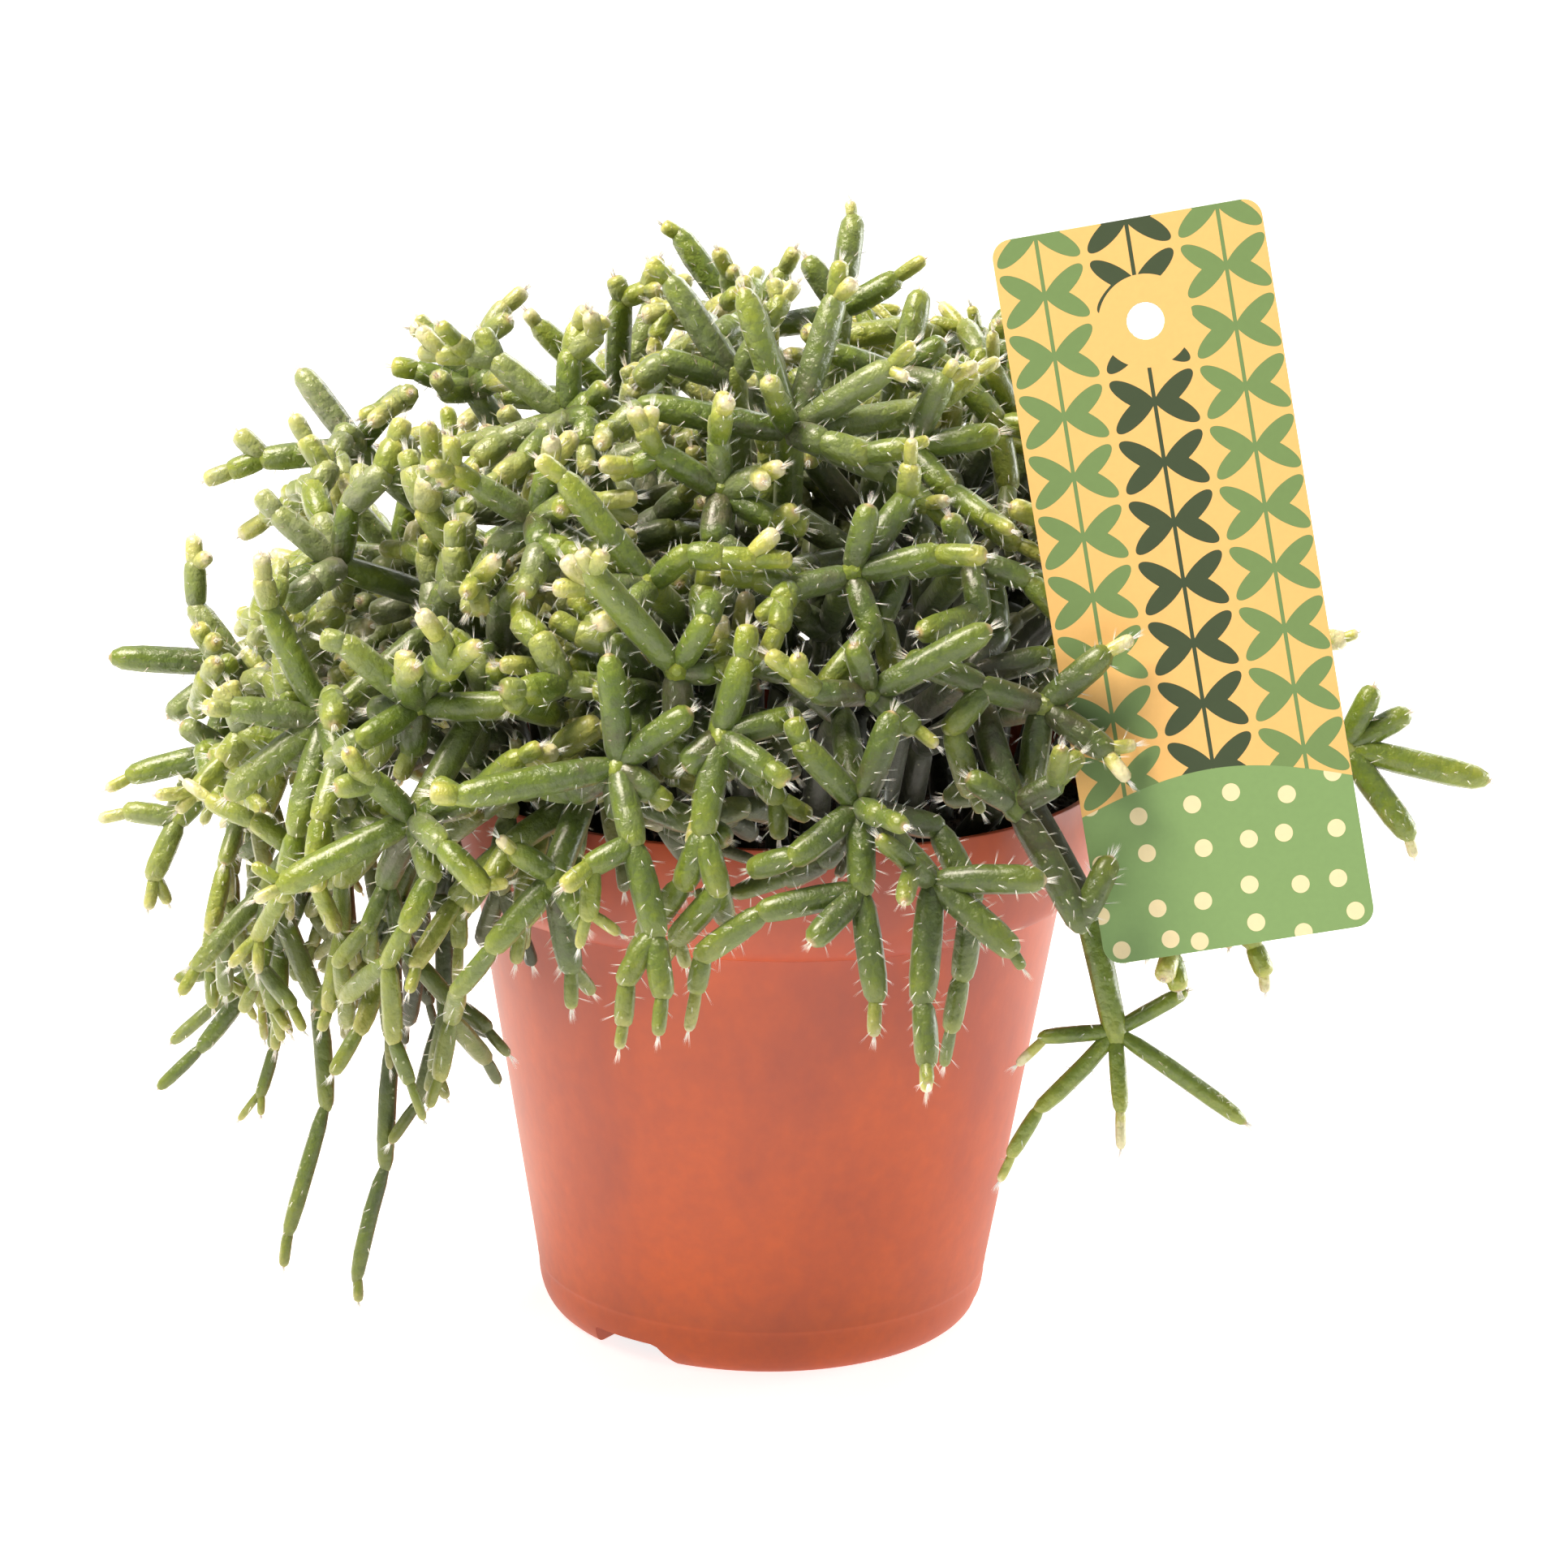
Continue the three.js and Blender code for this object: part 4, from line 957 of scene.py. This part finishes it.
def sprout(parent, splay, length, radius, age, rules):
    """A joint from a parent's tip, turned from the parent's own heading by the splay, to a random side."""
    along = joints.along[parent]
    leaned = spun(along, unit(np.cross(along, ASKEW)), math.radians(splay))
    heading = spun(leaned, along, chance.uniform(0, 2 * math.pi))
    if joints.end[parent, 2] < CROWN_CENTRE[2]:
        heading = unit(heading - (0, 0, DROOP))
    return grow_joint(parent, heading, length, radius, age, rules)


def fill(parent, splay, lengths, age):
    """A filling joint, unless its parent's tip is already as low as the crown hangs there."""
    tip = joints.end[parent]
    if tip[2] < LOWEST_FILLING[side_of(tip)]:
        return None
    open_side = tip[0] > OPEN_SIDE["x"] and tip[1] < OPEN_SIDE["y"] and tip[2] > OPEN_SIDE["z"]
    if open_side and chance.random() > OPEN_SIDE["share"]:
        return None
    stubby = grows_stubby(tip)
    length = chance.uniform(*lengths) * FILLING_LENGTH[stubby]
    radius = joint_radius(length, 2 if tip[2] < CROWN_CENTRE[2] else 0) + STUBBY_GIRTH * stubby
    return sprout(parent, chance.uniform(*splay), length, radius, age, FILLING_RULES)


def young_joint(parent, splay):
    stubby = grows_stubby(joints.end[parent])
    length = chance.uniform(*YOUNG_LENGTHS[stubby])
    radius = min(joint_radius(length), YOUNG_ON_PARENT[stubby] * joints.radius[parent])
    return sprout(parent, chance.uniform(*splay), length, radius, chance.uniform(*YOUNG_AGES), BUD_RULES)


def bud(parent, splay):
    stubby = grows_stubby(joints.end[parent])
    length = chance.uniform(*BUD_LENGTHS) * (0.75 if beyond_crown(joints.end[parent]) > OUTERMOST else 1)
    widest = BUD_ON_PARENT * joints.radius[parent]
    radius = min(BUD_BASE_RADIUS + BUD_GROWTH * length, widest) + STUBBY_GIRTH * stubby
    splay = chance.uniform(*splay)
    return sprout(parent, splay, length + JOINT_SINK, radius, chance.uniform(*BUD_AGES), BUD_RULES)


def free_tips():
    """The joints that carry nothing yet, stems left out."""
    carrying = set(joints.parent[: joints.count].tolist())
    return [row for row in range(joints.count) if joints.parent[row] >= 0 and row not in carrying]


for _ in range(FILLING["rounds"]):
    for stem in stems:
        for row in stem["rows"]:
            fill(row, FILLING["splay"], FILLING["lengths"], chance.uniform(*FILLING["ages"]))
for splay in FORKS["splays"]:
    for row in free_tips():
        odds = FORKING["left" if side_of(joints.end[row]) == "left" else "elsewhere"]
        if joints.length[row] > FORKING["longer than"] and chance.random() < odds:
            for _ in range(2):
                fill(row, splay, FORKS["lengths"], joints.age[row] * chance.uniform(*FORKS["ages"]))
for row in free_tips():
    tip = joints.end[row]
    if beyond_crown(tip) < OUTERMOST and chance.random() < YOUNG_SHARE[grows_stubby(tip)]:
        young_joint(row, YOUNG_SPLAYS[0])
        if chance.random() < 0.5:
            young_joint(row, YOUNG_SPLAYS[1])
for row in free_tips():
    for i in range(chance.choice(4, p=BUD_COUNTS[grows_stubby(joints.end[row])])):
        if beyond_crown(joints.end[row]) > SHADED or chance.random() < 0.2:
            bud(row, BUD_SPLAYS[min(i, 1)])

# -------------------------------------------------------------------------------------------- cuttings
# Each rooted cutting is one living piece: plump joints with a tight waist where one grows from another.
# The skin is smooth and waxy, yellow-green on buds and deep green on old joints, and small areoles all
# round each hold three white bristles. Shade is painted into the skin's colour, darker deep in the crown,
# on its shaded side and low on the hanging left, and a painted sheen pales the joints most in the light.

# How thick a joint and a stem piece are along their length, as shares of the length and the radius.
JOINT_FORM = [
    (0, 0.4), (0.05, 0.62), (0.16, 0.83), (0.4, 0.91), (0.74, 0.9), (0.9, 0.78), (0.97, 0.5), (1, 0.14)
]
STEM_FORM = [(-0.05, 0.3), (0, 0.74), (0.1, 0.93), (0.5, 1), (0.9, 0.93), (1, 0.74), (1.05, 0.3)]
JOINT_BOW = 0.028  # how far a joint's middle bows out, as a share of its length
SKIN_SIDES = 9
HANGING = {"below": 108.0, "slimmer": 0.93}
LONG = {"over": 16.0, "slimmer": 0.01}  # long joints are slimmer for their length, by this share a mm
AREOLE_SPACING = 1.65
BRISTLE_LENGTH = 2.0
BRISTLE_THICKNESS = 0.036
BRISTLE_SHARES = (0.55, 1.35)  # of that length, the shortest and the longest
BRISTLE_LEANS = ((0.45, 0.0), (-0.25, -0.42), (-0.2, 0.42))  # of the three of a tuft
TUFT_SPREAD = {"at foot": 1.6, "by height": 9}  # how far apart they stand, as shares of those leans
TUFT_JITTER = 0.35
FORWARD_LEAN = {"areole": 0.55, "tip": 1.1}  # of a tuft towards the joint's tip
TIP_TUFTS = 1.0  # the share of the points round a free tip that carry a tuft
SHADE = {"thin side": -0.9, "thin below": 80, "left": 60, "up": 100, "over": 80}
# Painted shade: the skin is mixed towards near black deep in the crown, more on the shaded side, and a
# little low on the hanging left.
PAINTED_SHADE_INSIDE = {"from": 4.0, "to": -22.0, "in light": 0.5, "most shaded": 0.9}  # from and to: mm out of the crown
PAINTED_SHADE_BY_SIDE = 0.33
PAINTED_SHADE_HANGING = {"share": 0.4, "over": 40.0, "most": 0.18}
# Painted shade: the skin's colour is pushed towards the ramp's darker greens on the shaded side.
PAINTED_SHADE_IN_TONE = 1.4
# A pale wax bloom at random strength, painted stronger on the lit upper left and weaker in shade: partly a
# painted sheen.
BLOOM_AND_PAINTED_SHEEN = {"least": 0.2, "middle": 0.3, "by x": -0.004, "by z": 0.005, "from z": 120, "lost in shade": 0.8}
# The bristles thin out where the painted shade is deep.
BRISTLY = {"stem": 0.2, "foot": 0.45, "to tip": 0.55, "lost when old": 1.4}


def clamp(value, low=0, high=1):
    return min(max(value, low), high)


def painted_shade_at(point, shaded):
    """How much painted shade darkens the skin at a point: most of all deep in the crown's shaded part, less
    towards its outside, and a little down the hanging side."""
    deep = (PAINTED_SHADE_INSIDE["from"] - beyond_crown(point)) / (PAINTED_SHADE_INSIDE["from"] - PAINTED_SHADE_INSIDE["to"])
    low = PAINTED_SHADE_HANGING["share"] * (CROWN_CENTRE[2] - point[2]) / PAINTED_SHADE_HANGING["over"] if point[0] < 0 else 0
    most = PAINTED_SHADE_INSIDE["in light"] + PAINTED_SHADE_BY_SIDE * max(shaded, 0)
    return clamp(deep) * most + clamp(low, 0, PAINTED_SHADE_HANGING["most"])


def shade(point):
    """How little sun a place in the crown gets: from nought at the upper left to one low in front, and below
    nought on the thin right side, where the sun comes through."""
    if side_of(point) == "right" or (point[0] > 0 and point[2] < SHADE["thin below"]):
        return SHADE["thin side"]
    return clamp((point[0] + SHADE["left"] - (point[2] - SHADE["up"])) / SHADE["over"])


def wires(cutting):
    """The middle lines of one cutting's joints, with what the skin and the bristles need at each point."""
    rows = np.flatnonzero(joints.cutting[: joints.count] == cutting)
    carrying = set(joints.parent[: joints.count].tolist())
    points, edges, headings, values = [], [], [], []
    for row in rows:
        is_stem = joints.parent[row] < 0
        start, end, along = joints.start[row], joints.end[row], joints.along[row]
        bow = unit(np.cross(along, chance.normal(size=3))) * joints.length[row]
        bow = bow * chance.uniform(0, JOINT_BOW)
        shaded = shade((start + end) / 2)
        # Tone differs at random between joints, plus painted shade on the shaded side.
        tone = chance.uniform(-1, 1) + PAINTED_SHADE_IN_TONE * shaded
        # Painted sheen: the bloom grows towards the lit upper left and is lost in shade.
        painted_sheen_by_place = BLOOM_AND_PAINTED_SHEEN["middle"] + BLOOM_AND_PAINTED_SHEEN["by x"] * start[0] + BLOOM_AND_PAINTED_SHEEN["by z"] * (start[2] - BLOOM_AND_PAINTED_SHEEN["from z"])
        bloom = clamp(chance.uniform(BLOOM_AND_PAINTED_SHEEN["least"], 1) * painted_sheen_by_place * (1 - BLOOM_AND_PAINTED_SHEEN["lost in shade"] * shaded))
        slimness = HANGING["slimmer"] if max(start[2], end[2]) < HANGING["below"] else 1
        if not is_stem:
            slimness -= LONG["slimmer"] * max(joints.length[row] - LONG["over"], 0)
        form = STEM_FORM if is_stem else JOINT_FORM
        edges += [(k, k + 1) for k in range(len(points), len(points) + len(form) - 1)]
        for share, girth in form:
            place = start + (end - start) * share
            # Painted shade at this point: deep in the crown, on the shaded side and low on the hanging left.
            old = painted_shade_at(place, shaded)
            bristly = BRISTLY["stem"] if is_stem else BRISTLY["foot"] + BRISTLY["to tip"] * share
            points.append((place + bow * math.sin(math.pi * clamp(share))) * MM)
            headings.append(along)
            values.append(
                {
                    "girth": girth * slimness * joints.radius[row] * MM,
                    "age": joints.age[row],
                    "tone": tone,
                    "share": share,
                    "bloom": bloom,
                    "old": clamp(old + PAINTED_SHADE_BY_SIDE * shaded, 0, PAINTED_SHADE_INSIDE["most shaded"]),
                    "bristly": bristly * max(1 - BRISTLY["lost when old"] * old, 0),
                    "tip": float(share == 1 and not is_stem and row not in carrying),
                }
            )
    mesh = bpy.data.meshes.new("wires")
    mesh.from_pydata(points, edges, [])
    for name in values[0]:
        numbers = [point[name] for point in values]
        mesh.attributes.new(name, "FLOAT", "POINT").data.foreach_set("value", numbers)
    mesh.attributes.new("heading", "FLOAT_VECTOR", "POINT").data.foreach_set("vector", np.ravel(headings))
    return mesh


def skin_tree():
    """Draws each middle line as a joint whose girth is given at its points."""
    tree, add, given = new_tree("joint skin", Wires="Geometry", Sides="Int", Skin="Material")
    lines = add("MeshToCurve", given["Wires"])
    girth = add("InputNamedAttribute", "girth", data_type="FLOAT")
    ring = add("CurvePrimitiveCircle", Resolution=given["Sides"], Radius=1.0)
    tubes = add("CurveToMesh", Curve=lines, Profile_Curve=ring, Scale=girth, Fill_Caps=True)
    smooth = add("SetShadeSmooth", tubes)
    add("NodeGroupOutput", add("SetMaterial", smooth, Material=given["Skin"]))
    return tree


def bristle_tree():
    """Sets a tuft of three bristles at each areole, leaning towards the joint's tip, and more round tips."""
    tree, add, given = new_tree(
        "areole bristles",
        Joints="Geometry",
        Areole_Spacing="Float",
        Length="Float",
        Thickness="Float",
        Tip_Tufts="Float",
        Seed="Int",
        Bristle="Material",
    )
    spike = add("MeshCone", Vertices=3, Radius_Top=0.0, Radius_Bottom=1.0, Depth=1.0)
    leaning = []
    for x, y in BRISTLE_LEANS:
        foot, splay = ((x * apart, y * apart, 0) for apart in TUFT_SPREAD.values())
        spread = add("Transform", Geometry=spike, Translation=foot)
        height = add("SeparateXYZ", add("InputPosition")).outputs["Z"]
        away = add("VectorMath", splay, height, operation="SCALE")
        leaning.append(add("SetPosition", Geometry=spread, Offset=away))
    tuft = add("JoinGeometry", leaning)
    areoles = add(
        "DistributePointsOnFaces",
        Mesh=given["Joints"],
        Distance_Min=given["Areole Spacing"],
        Density_Max=3e5,
        Density_Factor=add("InputNamedAttribute", "bristly", data_type="FLOAT"),
        Seed=given["Seed"],
        distribute_method="POISSON",
    )
    tip = add("InputNamedAttribute", "tip", data_type="FLOAT")
    luck = add("RandomValue", Seed=given["Seed"])
    chosen = add("Compare", luck, given["Tip Tufts"], operation="LESS_THAN")
    at_tip = add("Compare", tip, 0.5, operation="GREATER_THAN")
    both = add("BooleanMath", chosen, at_tip, operation="AND")
    outward = add("CaptureAttribute", given["Joints"])
    outward.capture_items.new("VECTOR", "Outward")
    feed(outward, Outward=add("InputNormal"))
    crowns = add("MeshToPoints", Mesh=outward, Selection=both)
    heading = add("InputNamedAttribute", "heading", data_type="FLOAT_VECTOR")
    grown = []
    for points, normal, forward in (
        (areoles, areoles.outputs["Normal"], FORWARD_LEAN["areole"]),
        (crowns, outward.outputs["Outward"], FORWARD_LEAN["tip"]),
    ):
        least, most = (-TUFT_JITTER,) * 3, (TUFT_JITTER,) * 3
        jitter = add("RandomValue", least, most, Seed=21, data_type="FLOAT_VECTOR")
        lean = add("VectorMath", heading, forward, operation="SCALE")
        aim = add("VectorMath", normal, lean, operation="ADD")
        aim = add("VectorMath", aim, jitter, operation="ADD")
        upright = add("AlignRotationToVector", Vector=aim, axis="Z")
        twist = add("RandomValue", 0.0, 2 * math.pi, Seed=8)
        turn = add("AxisAngleToRotation", Axis=(0, 0, 1), Angle=twist)
        rotation = add("RotateRotation", upright, turn, rotation_space="LOCAL")
        long = add("RandomValue", *BRISTLE_SHARES, Seed=5)
        length = add("Math", given["Length"], long, operation="MULTIPLY")
        size = add("CombineXYZ", given["Thickness"], given["Thickness"], length)
        grown.append(add("InstanceOnPoints", Points=points, Instance=tuft, Rotation=rotation, Scale=size))
    loose = add("RealizeInstances", add("JoinGeometry", grown))
    flat = add("SetShadeSmooth", Geometry=loose, Shade_Smooth=False)
    add("NodeGroupOutput", add("SetMaterial", flat, Material=given["Bristle"]))
    return tree


def waxy_skin():
    """A succulent's skin: living green tissue that light enters a little way, under a thin coat of wax that
    shines softly and lies as a pale bloom, with a painted sheen on the joints most in the light. Shade is
    painted in too, mixing the skin towards near black deep in the crown and on its shaded side. The skin's
    grain is drawn coarser than it is so that it shows."""
    material, add, shader, place = new_material("waxy succulent skin")
    age, tone, share, bloom, old, tip = (
        add("Attribute", attribute_name=name).outputs["Fac"]
        for name in ("age", "tone", "share", "bloom", "old", "tip")
    )
    mottle = add("TexNoise", Vector=place, Scale=1 / (3 * MM), Detail=6.0, Roughness=0.65)
    younger = add("Math", share, 2.2, operation="POWER")
    ripe = add("Math", younger, -0.32, age, operation="MULTIPLY_ADD")
    # The tone carries painted shade as well as random tone.
    ripe = add("Math", tone, 0.09, ripe, operation="MULTIPLY_ADD")
    spread = add("Math", mottle, 0.6, -0.3, operation="MULTIPLY_ADD")
    ripe = add("Math", ripe, spread, operation="ADD", use_clamp=True)
    green = set_stops(
        add("ValToRGB", ripe),
        {0.0: "#DFD9AC", 0.1: "#BFBF60", 0.34: "#8E9B2E", 0.6: "#6A7F1C", 0.8: "#4E6418", 1.0: "#48471E"},
    )
    # Painted shade: the green is mixed towards near black where the crown is deep or shaded.
    painted_shade_green = add("Mix", old, green, "#1C2012", data_type="RGBA")
    # The wax bloom, with a painted sheen on the joints most in the light.
    bloom_and_sheen_share = add("Math", bloom, mottle, -0.12, operation="MULTIPLY_ADD", use_clamp=True)
    with_bloom_and_sheen = add("Mix", bloom_and_sheen_share, painted_shade_green, "#C6C8AC", data_type="RGBA")
    cells = add("TexVoronoi", Vector=place, Scale=1 / (2.6 * MM))
    areole = add("MapRange", Value=cells, From_Min=0.11, From_Max=0.05, To_Max=0.4)
    flecked = add("Mix", areole, with_bloom_and_sheen, "#D6DCB2", data_type="RGBA")
    growing = add("Math", tip, 0.7, operation="MULTIPLY")
    flushed = add("Mix", growing, flecked, "#D2AE8C", data_type="RGBA")
    grain = add("TexNoise", Vector=place, Scale=1 / (0.8 * MM), Detail=3.0)
    knobs = add("Math", cells, -1.6, grain, operation="MULTIPLY_ADD")
    bump = add("Bump", Height=knobs, Strength=0.8, Distance=0.4 * MM)
    shine = add("MapRange", Value=mottle, To_Min=0.24, To_Max=0.42)
    # The skin is rougher where the painted shade is deep.
    rougher_in_painted_shade = add("Math", old, 0.3, shine, operation="MULTIPLY_ADD")
    feed(shader, Base_Color=flushed, Normal=bump, Roughness=rougher_in_painted_shade, IOR=1.45)
    feed(shader, Coat_Weight=0.55, Coat_Roughness=0.28, Sheen_Weight=0.12, Sheen_Roughness=0.5)
    feed(shader, Subsurface_Weight=0.15, Subsurface_Radius=(0.6, 1.0, 0.25), Subsurface_Scale=1.2 * MM)
    return material


def dry_bristle():
    """Cactus bristle: a dry, hollow, horn-like hair, nearly white, that catches the light along it."""
    material, add, shader, place = new_material("dry white bristle")
    patches = add("TexNoise", Vector=place, Scale=1 / (6 * MM), Detail=1.0)
    colour = set_stops(add("ValToRGB", patches), {0.3: "#F0ECE0", 0.6: "#FFFFFC"})
    feed(shader, Base_Color=colour, Roughness=0.5, IOR=1.5)
    feed(shader, Subsurface_Weight=0.2, Subsurface_Scale=0.3 * MM)
    return material


skin, bristle = waxy_skin(), dry_bristle()
joint_skin, areole_bristles = skin_tree(), bristle_tree()
for number, stem in enumerate(stems, start=1):
    node = f"cutting_{number:02d}"
    line = new_object("wires", wires(stem["cutting"]))
    cutting = run_tree(line, joint_skin, f"{node}_joints", Sides=SKIN_SIDES, Skin=skin)
    bristles = run_tree(
        new_object("bristle_host", cutting.data.copy()),
        areole_bristles,
        f"{node}_bristles",
        Areole_Spacing=AREOLE_SPACING * MM,
        Length=BRISTLE_LENGTH * MM,
        Thickness=BRISTLE_THICKNESS * MM,
        Tip_Tufts=TIP_TUFTS,
        Seed=number,
        Bristle=bristle,
    )
    for piece in (cutting, bristles):
        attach(piece, "root")
        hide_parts(node)

# --------------------------------------------------------------------------------------------- studio
# A white sweep under soft, even light, brighter from the upper left, as for a catalogue picture. Two weaker
# lamps light the right edge and the back.

CAMERA = {"place": (0.0, -0.700, 0.28463), "pitch": 0.2607, "yaw": 0.0034, "roll": 0.0207, "lens": 92.3}
FLOOR_HALF = 6.0
SURROUND_LIGHT = {"diffuse": 0.12, "gloss": 0.65}
FLOOR_GLOW = {"as light": 0.66, "to the eye": 0.82, "far": 1.0}
FLOOR_GLOW_GROWS = (0.15, 1.1)  # from and to, in metres from the pot
LAMPS = [  # name, place, target, size, power and colour
    ("key_light", (-0.72, -0.25, 1.5), (0, 0, 0.12), 0.8, 52, "#FFF1E2"),
    ("back_light", (0.5, 1.3, 0.9), (0, 0, 0.1), 0.9, 9, "#FFFFFF"),
    ("edge_light", (1.1, 0.4, 0.2), (0, 0, 0.05), 0.6, 10, "#FFFFFF"),
]


def white_sweep():
    """Matt white paper, lit a little from below as on a light table, so that shadows on it stay faint."""
    material, add, shader, place = new_material("matt white paper sweep")
    away = add("VectorMath", place, operation="LENGTH")
    to_eye = add("LightPath").outputs["Is Camera Ray"]
    near = add("MapRange", Value=to_eye, To_Min=FLOOR_GLOW["as light"], To_Max=FLOOR_GLOW["to the eye"])
    start, stop = FLOOR_GLOW_GROWS
    far = FLOOR_GLOW["far"]
    glow = add("MapRange", Value=away, From_Min=start, From_Max=stop, To_Min=near, To_Max=far)
    feed(shader, Base_Color="#D8D8D8", Roughness=0.9, Emission_Color="#FFFFFF", Emission_Strength=glow)
    return material


corners = [(x * FLOOR_HALF, y * FLOOR_HALF, 0) for x, y in ((-1, -1), (1, -1), (1, 1), (-1, 1))]
floor_mesh = bpy.data.meshes.new("studio_floor")
floor_mesh.from_pydata(corners, [], [(0, 1, 2, 3)])
studio_floor = new_object("studio_floor", floor_mesh)
give_materials(studio_floor, white_sweep())

# The surround is pure white to the eye and dimmer as a light, so that the lamps model the form.
world = bpy.data.worlds.new("soft white surround")
world.use_nodes = True
add = partial(add_node, world.node_tree)
rays = add("LightPath").outputs
dim, bright = SURROUND_LIGHT["diffuse"], SURROUND_LIGHT["gloss"]
lit = add("MapRange", Value=rays["Is Glossy Ray"], To_Min=dim, To_Max=bright)
glow = add("Math", lit, rays["Is Camera Ray"], operation="MAXIMUM")
feed(world.node_tree.nodes["Background"], Color="#FFFFFF", Strength=glow)
bpy.context.scene.world = world

for name, place, target, size, power, colour in LAMPS:
    light = bpy.data.lights.new(name, "AREA")
    light.shape = "DISK"
    light.size = size
    light.energy = power
    light.color = linear(colour)[:3]
    lamp = new_object(name, light)
    lamp.location = place
    lamp.rotation_euler = (Vector(target) - Vector(place)).to_track_quat("-Z", "Y").to_euler()

camera_data = bpy.data.cameras.new("main_camera")
camera_data.sensor_width = 36
camera_data.lens = CAMERA["lens"]
camera_data.dof.use_dof = False
camera = new_object("main_camera", camera_data)
camera.matrix_world = Matrix.Translation(CAMERA["place"])
for angle, axis in ((-CAMERA["yaw"], "Z"), (math.pi / 2 - CAMERA["pitch"], "X"), (CAMERA["roll"], "Z")):
    camera.matrix_world = camera.matrix_world @ Matrix.Rotation(angle, 4, axis)
bpy.context.scene.camera = camera
bpy.context.scene.view_settings.view_transform = "Standard"
